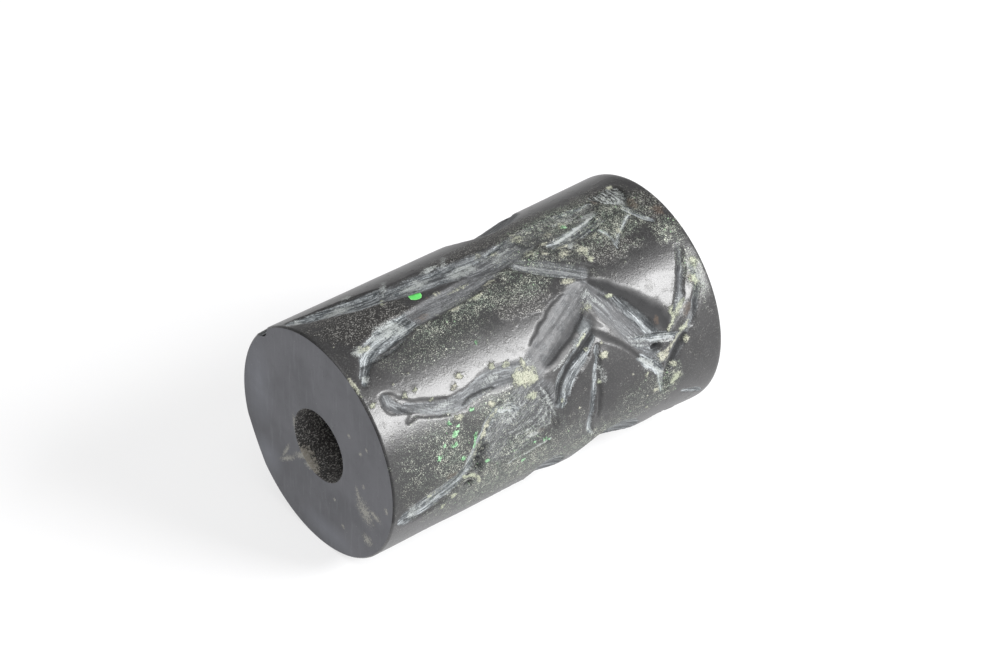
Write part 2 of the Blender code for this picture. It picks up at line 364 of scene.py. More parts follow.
class Barrel:
    """The barrel rolled flat. At each vertex it keeps how deep the stone is cut, and its finish."""

    # The shade layer is painted shade in grooves, pits and hollows, together with the dirt that lies in them.
    FINISH = ("cut", "shade", "film_and_reflection", "dust", "soil", "crust", "green", "rust", "pale", "polish")

    def __init__(self, mesh):
        self.points = read(mesh.vertices, "co", 3, float) / MM
        across, up = self.points[:, 1], self.points[:, 2] - AXIS_HEIGHT
        count = len(self.points)
        self.radius = np.hypot(across, up)
        self.outside = self.radius > BARREL_RADIUS - FAR_ROUNDING_DEPTH - 0.1
        self.depth = np.zeros(count)
        self.flow = np.zeros((count, 3))
        self.layer = {name: np.zeros(count) for name in self.FINISH}
        self.along = self.points[:, 0].copy()
        self.around = np.arctan2(-across, up) * BARREL_RADIUS
        self.rough_along = self.along + self.straying(1)
        self.rough_around = self.around + self.straying(3)
        self.ragged = 0.6 * unevenness(self.points, 0.6, 8) + 0.4 * unevenness(self.points, 0.32, 9)
        self.strokes = 0

    def straying(self, seed):
        """How far the edge of a cut strays from its line, in millimetres."""
        return 0.09 * unevenness(self.points, 0.9, seed) + 0.06 * unevenness(self.points, 0.4, seed + 1)

    def gap(self, along, turn, lean=0.0):
        """Distances in millimetres from one place, along and across an axis that leans by degrees."""
        place_along, place_round = set_on_barrel(along, turn)
        run = self.rough_along - place_along
        rise = (self.rough_around - place_round + GIRTH / 2) % GIRTH - GIRTH / 2
        cosine, sine = math.cos(math.radians(lean)), math.sin(math.radians(lean))
        return run * cosine + rise * sine, rise * cosine - run * sine

    def beside(self, places):
        """Vertices near a path: which they are, their run along it, their side of it, its width."""
        path = rounded_path(places)
        reach = path[:, 2].max() * 0.5 + STROKE_MARGIN
        middle = path[:, 1].mean()
        around = (self.rough_around - middle + GIRTH / 2) % GIRTH - GIRTH / 2 + middle
        inside = self.outside & (self.rough_along > path[:, 0].min() - reach)
        inside &= (self.rough_along < path[:, 0].max() + reach) & (around > path[:, 1].min() - reach)
        near = np.flatnonzero(inside & (around < path[:, 1].max() + reach))
        gap_along = self.rough_along[near, None] - path[None, :, 0]
        gap_around = around[near, None] - path[None, :, 1]
        pick = (gap_along ** 2 + gap_around ** 2).argmin(axis=1)
        heading = np.gradient(path[:, :2], axis=0)
        heading /= np.linalg.norm(heading, axis=1)[:, None]
        rows = np.arange(len(near))
        gap_along, gap_around = gap_along[rows, pick], gap_around[rows, pick]
        onward = gap_along * heading[pick, 0] + gap_around * heading[pick, 1]
        aside = gap_around * heading[pick, 0] - gap_along * heading[pick, 1]
        past_end = np.where((pick == 0) | (pick == len(path) - 1), onward, 0.0)
        away = np.hypot(aside, past_end)
        gap_along += self.along[near] - self.rough_along[near]
        gap_around += self.around[near] - self.rough_around[near]
        aside = gap_around * heading[pick, 0] - gap_along * heading[pick, 1]
        run = np.concatenate([[0.0], np.cumsum(np.linalg.norm(np.diff(path[:, :2], axis=0), axis=1))])
        return near, run[pick] + onward, aside, away, path[pick, 2], run[-1]

    def open_up(self, chosen, bowl, run, aside, rim, polish):
        """Cuts the chosen vertices down to a bowl, and opens the polished skin inside its rim."""
        self.depth[chosen] = bowl
        self.flow[chosen] = np.stack([run, aside, np.full_like(run, self.strokes * STROKE_SPACING)], 1)
        cut = self.layer["cut"]
        cut[chosen] = np.maximum(cut[chosen] * (1.0 - rim), rim * (1.0 - polish))
        self.layer["polish"][chosen] = polish * rim

    def deepen(self, name, near, values):
        """Raises a layer to the values at the vertices that are near."""
        self.layer[name][near] = np.maximum(self.layer[name][near], values)

    def stroke(self, places, depth, shape=2.0, ribs=0.0, polish=0.0, shade=0.0, ends=0.4):
        """A gouge along the places. Shape 1 is a V, 2 is round and 5 has a flat floor."""
        near, run, aside, away, width, length = self.beside(places)
        self.strokes += 1
        reach = away / (width / 2)
        ease = np.clip(np.minimum(run, length - run) / STROKE_TAPER, 0.0, 1.0)
        grain = np.stack([run / RIB_LENGTH, aside / RIB_PITCH, np.full_like(run, self.strokes)], 1)
        bowl = depth * (ends + (1.0 - ends) * ease) * (1.0 - reach ** shape)
        bowl = bowl + ribs * unevenness(grain, 1.0) * (reach < 1.0)
        deeper = (bowl > self.depth[near]) & (reach < 1.0)
        rim = np.clip((1.0 - reach) * width / 2 / (0.1 + 0.14 * width), 0.0, 1.0)[deeper]
        self.open_up(near[deeper], bowl[deeper], run[deeper], aside[deeper], rim, polish)
        self.layer["shade"][near[deeper]] *= 1.0 - rim
        # A dark line of painted shade and dirt along the gouge.
        if shade:
            self.deepen("shade", near, shade * np.clip(1.5 - 2.0 * away / width, 0.0, 1.0))

    def gash(self, along, turn, end_along, end_turn, width, depth, bow=0.0):
        """A short round gouge from one place to another that tapers to both."""
        middle = ((along + end_along) / 2, (turn + end_turn) / 2 + bow, width)
        self.stroke([(along, turn, 0.6 * width), middle, (end_along, end_turn, 0.6 * width)], depth, 2, 0.02)

    def score(self, places, depth, shade=0.0):
        """A soft line cut into what is there already, and darkened with painted shade and dirt. A negative
        depth leaves a ridge.
        """
        near, run, aside, away, width, length = self.beside(places)
        dip = np.maximum(1.0 - (2.0 * away / width) ** 2, 0.0)
        self.depth[near] += depth * dip ** 2
        self.deepen("shade", near, shade * dip)

    def scoop(self, along, turn, half_length, half_width, depth, lean=0.0, polish=0.0, shape=1.0):
        """An oval hollow. Its long side is turned by lean degrees from the axis."""
        run, aside = self.gap(along, turn, lean)
        reach = (run / half_length) ** 2 + (aside / half_width) ** 2
        bowl = depth * np.maximum(1.0 - reach, 0.0) ** shape
        deeper = self.outside & (bowl > self.depth)
        self.strokes += 1
        rim = np.clip((1.0 - np.sqrt(reach[deeper])) * half_width / SCOOP_RIM, 0.0, 1.0)
        self.open_up(deeper, bowl[deeper], run[deeper], aside[deeper], rim, polish)

    def spread(self, name, amount, near, reach):
        """A layer with a ragged edge, full where the reach is small and gone where it comes to 1."""
        reach = reach * (1.0 + RAGGEDNESS * self.ragged[near])
        self.deepen(name, near, amount * np.clip(1.5 * (1.0 - reach), 0.0, 1.0))

    def dab(self, name, amount, along, turn, half_length, half_width):
        """A ragged spot of one finish."""
        run, aside = self.gap(along, turn)
        reach = np.hypot(run / half_length, aside / half_width)
        self.spread(name, amount, self.outside, reach[self.outside])

    def smear(self, name, amount, places):
        """A ragged streak of one finish along the places (along, turn, width)."""
        near, run, aside, away, width, length = self.beside(places)
        self.spread(name, amount, near, away / (width / 2))


def carve_hero(cut):
    """The striding hero: two legs, a body, and an arm that holds the horned animal's neck, with dark lines of
    painted shade and dirt along some edges.
    """
    cut.stroke([
        (-16.3, -27, 1.3), (-14.6, -22.5, 2.1), (-11.5, -17.5, 2.8), (-8.6, -14, 2.6),
    ], 0.32, 3, 0.03)
    cut.stroke([(-9.6, -13, 2.0), (-6, -10.5, 3.0), (-2.5, -7.5, 3.2), (1, -5, 2.8)], 0.34, 3, 0.03, 0.15)
    for gash in (
        (-15.8, -25, -12.8, -20.5, 1.0), (-13.4, -19.5, -9.6, -14.5, 0.9), (-12.2, -23, -9.4, -18, 0.7),
        (-8.6, -12, -4.4, -9.5, 1.0), (-5.4, -14.5, -1.4, -11.5, 0.8), (-6.6, -6.5, -1.4, -3, 0.9),
        (-3.6, -8.5, 1.2, -7.5, 0.9), (-9.2, -16.5, -5.6, -14.5, 0.6),
    ):
        cut.gash(*gash, 0.42, 0.5)
    cut.stroke([
        (-16.1, 30, 0.7), (-15.3, 24, 1.1), (-14, 17, 1.8), (-11.5, 12.8, 2.1), (-8.4, 10, 2.0),
    ], 0.32, 3, 0.03)
    cut.stroke([(-9.4, 10, 1.8), (-6, 9, 2.2), (-3, 7.5, 2.2), (0, 4.5, 2.0)], 0.32, 3, 0.03, 0.55)
    cut.stroke([(-13.8, 19.4, 0.6), (-11.6, 16.6, 0.8), (-9.4, 14.4, 0.6)], 0.38, 2, 0.02)
    cut.stroke([(-12.4, 9.5, 0.8), (-10.4, 7.5, 0.9), (-8.8, 6.5, 0.6)], 0.36, 2, 0.02)
    cut.stroke([
        (-15.5, 22.5, 0.35), (-13.5, 22, 0.35), (-11.9, 20.5, 0.3), (-10.4, 18.4, 0.25),
    ], 0.36, 1, shade=0.8)
    cut.stroke([(-0.8, -1, 2.8), (1.8, -2.5, 3.4), (4.4, -4, 3.0)], 0.4, 3, 0.04, 0.4, ends=0.8)
    for gash in (
        (0.6, -8, 3.8, -10.5, 0.8), (1.0, -2.5, 3.6, -7.5, 0.5), (1.8, 0, 4.0, -5, 0.45),
        (-0.2, 2.5, 3.0, 0.5, 0.7), (0.2, -5, 2.2, -8.5, 0.5), (5.5, -9.5, 6.8, -3, 0.55),
        (6.4, -9.5, 7.6, -3.5, 0.5), (7.6, -8, 9.6, -7, 0.8), (10.1, -9, 11.4, -4, 0.8),
        (7.8, -2.5, 9.2, -4.5, 0.5),
    ):
        cut.gash(*gash, 0.46)
    cut.stroke([(4.5, -6, 0.7), (4.6, -3.5, 0.8), (4.9, -1, 0.5)], 0.5, 2, 0, 0.5, 0.7)
    cut.stroke([
        (5.0, -6, 2.8), (7.5, -5.5, 3.0), (10, -5, 2.6), (11.9, -5.5, 1.6),
    ], 0.36, 3, 0.03, 0.85, ends=0.8)
    cut.stroke([(8.6, -11.5, 0.6), (10.4, -9.5, 1.0), (12.2, -8, 0.8)], 0.3, 2, 0.03)
    cut.stroke([(2.2, 5, 1.5), (3.5, 12, 1.9), (5.1, 19, 2.0), (6.7, 26.5, 1.5)], 0.36, 5, 0.02, 0.3)
    cut.score([(3.4, 5, 0.4), (5.0, 12, 0.5), (6.5, 19, 0.5), (7.8, 26, 0.4)], 0.06, 0.7)
    cut.stroke([(1.9, 9, 0.3), (2.8, 14, 0.32), (3.6, 18, 0.32), (4.6, 22, 0.32), (5.8, 26, 0.3)], 0.42, 1)
    cut.stroke([(6.0, 5.8, 0.6), (8.2, 4, 1.1), (10, 2.4, 1.1), (11.9, -0.4, 0.6)], 0.34, 2, 0.03)
    cut.stroke([(6.3, 8.2, 0.5), (9, 6.6, 0.6), (11.8, 4, 0.4)], 0.42, 2, 0.02)
    cut.stroke([(6.2, 6.6, 0.25), (9, 5.4, 0.3), (11.9, 2.2, 0.25)], 0.44, 1, shade=0.8)
    cut.stroke([(9, 9.5, 0.4), (10.5, 8, 0.45), (12, 6.5, 0.35)], 0.3, 2)
    for lean in range(8):
        start = 13.1 + 0.34 * lean
        cut.stroke([
            (start, -13, 0.3), (start + 0.1, -6, 0.34), (14.25 + 0.12 * lean, 1, 0.28), (14.5, 6, 0.2),
        ], 0.34, 2)
        cut.score([
            (start + 0.17, -13, 0.2), (start + 0.27, -6, 0.22), (14.31 + 0.12 * lean, 1, 0.2),
        ], 0.05, 0.9)
        cut.smear("pale", 0.8, [
            (start, -12.5, 0.25), (start + 0.1, -6, 0.3), (14.25 + 0.12 * lean, 1, 0.25),
        ])
    cut.stroke([(14.3, 5, 0.9), (14.8, 11, 0.8), (15.5, 18, 0.5)], 0.3, 2, 0.02)
    cut.stroke([(10.7, 10, 0.5), (11.2, 15, 0.5), (11.1, 23, 0.35)], 0.2)
    cut.stroke([(14, 10, 0.45), (12.6, 15, 0.5), (11.9, 18, 0.5), (11.2, 21.5, 0.35)], 0.2)


def carve_horned_animal(cut):
    """The rearing animal that looks back: legs, haunch, body, neck, head and long horn, with painted shade in
    its grooves, pits and hollows.
    """
    cut.score([(9.9, 53, 2.4), (12.4, 53, 4.4), (14.9, 53, 2.4)], 0.1)
    cut.stroke([(-15.2, 40, 0.9), (-15.1, 44, 1.2), (-14.4, 48, 1.0)], 0.16, 2, 0.02, 0.3, ends=0.8)
    cut.stroke([
        (-14.2, 48, 1.0), (-12.6, 51.6, 1.2), (-10.8, 55.5, 1.4), (-9.2, 57, 1.6), (-7.5, 55.5, 1.8),
        (-5.5, 54, 2.2), (-3, 56, 2.2),
    ], 0.18, 2, 0.025, 0.3)
    cut.score([
        (-15.5, 43, 0.3), (-15.5, 40, 0.34), (-15.2, 38.2, 0.34), (-14.5, 38.8, 0.34), (-14.1, 42, 0.34),
        (-13.2, 46.5, 0.4), (-12.3, 48, 0.4), (-11.4, 50, 0.4), (-10.2, 52.4, 0.3),
    ], 0.06, 0.7)
    cut.score([(-15.6, 43, 0.3), (-15.6, 46, 0.34), (-15.3, 48.6, 0.36), (-14.8, 49.2, 0.3)], 0.06, 0.7)
    cut.score([(-14.4, 47, 0.35), (-14.0, 49.5, 0.45), (-13.7, 51.5, 0.4)], 0.07, 0.8)
    cut.score([
        (-13.7, 52, 0.3), (-14.2, 54.5, 0.4), (-14.2, 56, 0.4), (-13, 55.4, 0.35), (-12.2, 57, 0.4),
        (-11.2, 59, 0.4), (-10.2, 61, 0.35),
    ], 0.07, 0.8)
    cut.score([(-8.8, 58.6, 0.35), (-7.8, 57.4, 0.45), (-6.8, 57, 0.4), (-5.6, 57.8, 0.3)], 0.08, 0.9)
    cut.scoop(-3.8, 80, 4.2, 2.9, 0.3, -30, 0.5, 1.4)
    cut.score([(-5.2, 84, 0.7), (-3.2, 82.4, 0.8), (-1.6, 79, 0.7), (-1.0, 74, 0.5)], -0.06)
    cut.score([(-5.0, 87.5, 0.5), (-2.6, 86.5, 0.6), (-1.2, 82.5, 0.5)], 0.05, 0.4)
    cut.stroke([(-6.2, 68, 0.6), (-4.6, 71, 1.3), (-3.4, 76, 1.1), (-3.0, 80, 0.6)], 0.28, 2, 0.02)
    cut.score([(-1.5, 70, 0.4), (-1.2, 78, 0.5), (-0.8, 86, 0.5), (-0.4, 93, 0.4)], 0.08, 0.6)
    cut.score([(-0.9, 70, 0.4), (-0.6, 80, 0.4), (-0.1, 91, 0.4)], 0.1, 0.6)
    cut.score([(-5.0, 100.6, 0.3), (-3.0, 100, 0.3), (-1.0, 99, 0.3)], 0.05, 0.5)
    cut.stroke([
        (-5.6, 68, 0.9), (-6.9, 72.5, 1.0), (-8.1, 80, 1.1), (-9.0, 86, 1.1), (-9.8, 92, 1.1),
        (-10.9, 96, 1.5), (-12.6, 99, 2.0), (-14.2, 102, 2.3), (-15.8, 103.5, 2.0),
    ], 0.2, 2, 0.03)
    cut.score([(-9.0, 88, 0.4), (-10.4, 93, 0.5), (-12.2, 95.6, 0.5), (-14, 97.5, 0.4)], 0.06, 0.7)
    for along, turn, length, width in (
        (-8.0, 85, 0.7, 0.7), (-8.6, 89, 0.6, 0.6), (-8.5, 93.5, 0.5, 0.6), (-9.4, 101, 0.5, 0.4),
    ):
        cut.scoop(along, turn, length, width, 0.42, 0, 0.4)
        # Painted shade and dirt in each pit.
        cut.dab("shade", 1.0, along, turn, 1.25 * length, 1.15 * width)
    cut.score([(-16.2, 104, 0.4), (-14.4, 108, 0.5), (-12.6, 106, 0.5), (-11.6, 104.5, 0.4)], 0.1, 0.6)
    cut.stroke([
        (-2.4, 61, 2.2), (0.3, 52, 2.8), (2.9, 43.5, 2.8), (5.6, 35, 2.3),
    ], 0.06, 2, 0.01, 0.7, ends=0.9)
    cut.score([(-2.4, 61, 2.6), (0.3, 52, 3.2), (2.9, 43.5, 3.2), (5.6, 35, 2.6)], 0.1)
    cut.score([
        (-1.0, 47.5, 0.3), (-0.1, 43.8, 0.5), (1.3, 38.8, 0.5), (2.8, 34.0, 0.45), (4.1, 32, 0.3),
    ], 0.04, 0.85)
    cut.score([(-0.4, 50, 0.4), (1.8, 44.6, 0.45), (3.2, 40.6, 0.45), (4.7, 35, 0.4)], 0.025, 0.4)
    cut.score([(2.6, 46, 0.4), (4.2, 41.5, 0.4), (5.4, 37.8, 0.4), (6.2, 34, 0.35)], 0.025, 0.35)
    # The armpit: a soft dark band of painted shadow, darkest along its middle.
    cut.score([
        (4.9, 43.5, 1.0), (4.0, 48.2, 2.1), (2.7, 52.2, 2.2), (1.3, 55.8, 1.9), (0, 59.5, 1.4),
    ], 0.06, 0.6)
    cut.score([
        (4.9, 44, 0.4), (4.1, 48.6, 0.7), (2.9, 52.6, 0.7), (1.5, 56.2, 0.6), (0.1, 59.8, 0.4),
    ], 0.03, 1.0)
    cut.stroke([
        (4.6, 56, 1.2), (3.4, 61, 1.9), (2.0, 66, 2.1), (1.0, 72, 2.2), (0.4, 80, 1.4),
    ], 0.28, 2, 0.04)
    # The groove below the crest, darkened with painted shade.
    cut.score([
        (4.9, 54.5, 0.9), (3.6, 59.6, 1.2), (2.3, 63, 1.1), (1.2, 68, 1.0), (0.5, 73, 1.3), (0, 79, 0.8),
    ], 0.08, 1.0)
    cut.stroke([
        (6.1, 33, 1.7), (6.9, 43, 2.4), (7.8, 54, 2.6), (9.0, 65, 2.4), (10.2, 76, 1.8),
    ], 0.1, 2, 0.01, 0.45)
    cut.score([(6.1, 33, 2.2), (6.9, 43, 3.0), (7.8, 54, 3.4), (9.0, 65, 3.2), (10.2, 76, 2.4)], 0.13)
    cut.stroke([(8.2, 44, 0.7), (8.9, 51, 1.4), (9.7, 59, 1.6), (10.5, 68, 1.2)], 0.34, 2, 0.035)
    # The wedge and pocket beside the neck, darkened with painted shade.
    cut.score([
        (7.0, 31.8, 0.9), (8.3, 39.6, 1.6), (9.4, 46.6, 2.0), (10.4, 53.5, 2.2), (11.4, 60, 2.6),
        (11.9, 65, 2.2), (12.2, 69, 1.2),
    ], 0.13, 1.0)
    cut.score([
        (4.9, 53.5, 0.5), (5.6, 57.5, 0.7), (6.4, 62, 0.7), (7.4, 67, 0.7), (8.4, 74, 0.6),
        (9.0, 79, 0.4),
    ], 0.1, 0.8)
    cut.score([(4.3, 43.6, 0.35), (5.3, 49.5, 0.4), (6.0, 54, 0.35)], 0.07, 0.5)
    cut.stroke([(8.2, 65, 0.6), (9.6, 68.4, 1.0), (11.2, 71.4, 1.0), (12.9, 74.4, 0.6)], 0.26, 2, 0.04)
    cut.stroke([(8.5, 69, 0.8), (9.5, 73.5, 1.2), (10.6, 79, 1.0), (11.2, 84, 0.7)], 0.26, 2, 0.03, 0.2)
    cut.scoop(10.6, 75.8, 0.6, 0.5, 0.6)
    # Painted shade and dirt in the drilled hole.
    cut.dab("shade", 1.0, 10.6, 75.8, 0.7, 0.6)
    cut.stroke([(8.8, 77, 0.9), (9.8, 82.5, 1.3), (10.6, 87.5, 1.2), (11.2, 93, 0.7)], 0.26, 2, 0.03)
    cut.stroke([(10.7, 91, 0.5), (10.9, 96.5, 0.7), (11.1, 103, 0.4)], 0.22, 2, 0.02)
    cut.stroke([(13.9, 73, 1.0), (12.9, 79, 1.4), (12.1, 86, 1.3), (11.5, 92.5, 0.9)], 0.28, 2, 0.02, 0.4)
    cut.score([(13.7, 76, 0.8), (12.9, 81, 1.0), (12.1, 87, 1.0), (11.4, 93, 0.7)], 0.12, 0.95)
    cut.score([(11.3, 94, 0.5), (11.5, 99, 0.6), (11.6, 105, 0.4)], 0.12, 0.8)
    cut.stroke([
        (15.95, 35.5, 0.5), (15.4, 44, 0.8), (14.7, 51, 0.9), (14.1, 58, 0.9), (13.2, 64, 0.8),
        (12.3, 70, 0.6),
    ], 0.22, 2, 0.02, 0.2)
    cut.score([
        (15.7, 36, 0.3), (15.1, 44, 0.34), (14.4, 51, 0.36), (13.7, 58, 0.36), (12.9, 64, 0.34),
    ], 0.14, 0.8)
    cut.score([(16.2, 36, 0.3), (15.7, 44, 0.34), (15.0, 51, 0.36), (14.5, 57, 0.34)], 0.12, 0.6)
    cut.stroke([
        (16.3, 47, 0.7), (16.1, 54, 0.9), (15.6, 61, 0.8), (14.8, 68, 0.8), (13.8, 74, 0.9),
        (12.6, 79, 0.6),
    ], 0.2, 2, 0.03, 0.2)
    cut.score([(15.9, 56, 0.3), (15.4, 63, 0.4), (15, 69, 0.4), (14.6, 73, 0.3)], 0.14, 0.8)
    cut.stroke([
        (5.0, 62, 0.5), (4.6, 67, 0.6), (4.15, 73, 0.6), (3.85, 80, 0.65), (3.7, 86, 0.65),
        (3.5, 92, 0.65), (3.3, 100, 0.65), (3.5, 106, 0.65), (4.1, 111, 0.5),
    ], 0.18, 2, 0.02)
    cut.score([(4.9, 66, 0.35), (4.5, 76, 0.45), (4.35, 88, 0.55), (4.2, 98, 0.4)], 0.16, 0.8)


def carve_bull_man(cut):
    """The bull-man who takes the second animal: chest, hips, two legs, head, horns and arm."""
    cut.scoop(6.9, 138, 3.7, 4.3, 0.85)
    cut.scoop(0.1, 134, 2.1, 3.3, 0.5)
    for places in ([(-2.5, 134), (-8, 140), (-11.5, 137), (-15.5, 142)],
                   [(-2.5, 139), (-7.5, 151), (-12, 150), (-15.5, 159)]):
        cut.stroke([(along, turn, 1.6) for along, turn in places], 0.34, 3, 0.03)
    cut.scoop(13.1, 137, 1.5, 1.3, 0.4)
    cut.stroke([(14.4, 134, 0.7), (15.8, 138, 0.7), (14.4, 143, 0.5)], 0.22)
    cut.stroke([(7, 139, 1.5), (9, 148, 1.5), (8.2, 158, 1.4), (9, 167, 1.1)], 0.34, 3, 0.03)


def carve_lion(cut):
    """The rearing lion: chest, haunch, head with open jaws, four legs and a raised tail."""
    cut.scoop(4.8, 206, 2.9, 3.4, 0.55, 20)
    cut.stroke([(3.4, 209, 2.4), (-0.5, 214, 2.4), (-4.5, 220, 2.4)], 0.4, 3, 0.03, ends=0.9)
    cut.scoop(-5.4, 222, 2.7, 2.4, 0.5)
    cut.scoop(10.6, 199, 1.7, 1.9, 0.42)
    cut.stroke([(11.4, 195, 1.0), (12.4, 188, 0.8)], 0.26)
    cut.stroke([(10.2, 194, 0.9), (9.5, 188, 0.7)], 0.24)
    for lock in range(5):
        turn = 201 + 4 * lock
        cut.stroke([(8.6, turn, 0.4), (6.8 + 0.2 * lock, turn + 2, 0.45), (5.4, turn + 1, 0.3)], 0.5, 1)
    cut.stroke([(6.2, 201, 1.3), (8.4, 187, 1.3), (9.4, 173, 1.1)], 0.3, 3, 0.03)
    cut.stroke([(-6.4, 217, 1.5), (-10, 207, 1.4), (-12.5, 211, 1.2), (-15.6, 203, 1.3)], 0.32, 3, 0.03)
    cut.stroke([(-6.9, 227, 1.5), (-10.5, 233, 1.4), (-12.6, 229, 1.2), (-15.6, 233, 1.3)], 0.32, 3, 0.03)
    cut.stroke([(-4, 231, 0.8), (-1, 239, 0.8), (3, 240, 0.8), (5.6, 236, 0.8)], 0.22, 2, 0.02)


def carve_robed_figure(cut):
    """The long-robed figure behind the lion: a fluted robe, chest, head and two arms."""
    for turn_at_hem in (257, 266, 275, 284):
        turn_at_belt = 270 + 0.55 * (turn_at_hem - 270)
        cut.stroke([
            (0.8, turn_at_belt, 0.9), (-7, (turn_at_belt + turn_at_hem) / 2, 1.2),
            (-15.2, turn_at_hem, 1.3),
        ], 0.3, 2, 0.03)
    cut.scoop(4.4, 270, 3.2, 2.6, 0.45)
    cut.scoop(12.0, 270, 1.6, 1.4, 0.4)
    cut.stroke([(6.6, 266, 1.2), (7.6, 256, 1.2), (5.8, 247, 1.0)], 0.3, 3, 0.03)
    cut.stroke([(6.2, 275, 1.2), (7.4, 286, 1.2), (5.4, 295, 1.0)], 0.3, 3, 0.03)


def carve_kid(cut):
    """The small goat behind the hero: body, neck, head, curled horn and two hind legs."""
    cut.scoop(4.8, -44, 3.9, 3.6, 0.8, 0, 0.3)
    cut.stroke([(6.5, -45, 1.4), (8.6, -49, 1.4), (10.8, -52, 1.3)], 0.3, 3, 0.03)
    cut.stroke([(11, -51, 0.7), (13, -48, 0.7), (13.8, -54, 0.6), (12.4, -59, 0.5)], 0.2)
    cut.stroke([(2.2, -42, 1.2), (-4, -55, 1.3), (-9, -50, 1.2), (-15.5, -57, 1.1)], 0.28, 3, 0.03)
    cut.stroke([(1.8, -46, 1.2), (-5, -65, 1.3), (-9.5, -61, 1.2), (-15.5, -69, 1.1)], 0.28, 3, 0.03)


def chip_the_rims(cut):
    """Old chips at the near end's edge, and a scratch beside the far end's."""
    cut.scoop(-HALF_LENGTH, -48, 0.9, 0.9, 0.4)
    cut.scoop(-HALF_LENGTH, -124, 0.5, 2.4, 0.16)
    cut.stroke([(13.8, 112, 0.5), (15.4, 117, 0.7), (16.4, 122, 0.5)], 0.1)
    cut.stroke([(-0.4, 15, 0.14), (-1.2, 22, 0.14)], 0.06, 1)
    cut.stroke([(-9.2, 65, 0.12), (-9.3, 73, 0.12)], 0.05, 1)


barrel = Barrel(stone_mesh)
for carve in (carve_hero, carve_horned_animal, carve_bull_man, carve_lion, carve_robed_figure, carve_kid,
              chip_the_rims):
    carve(barrel)
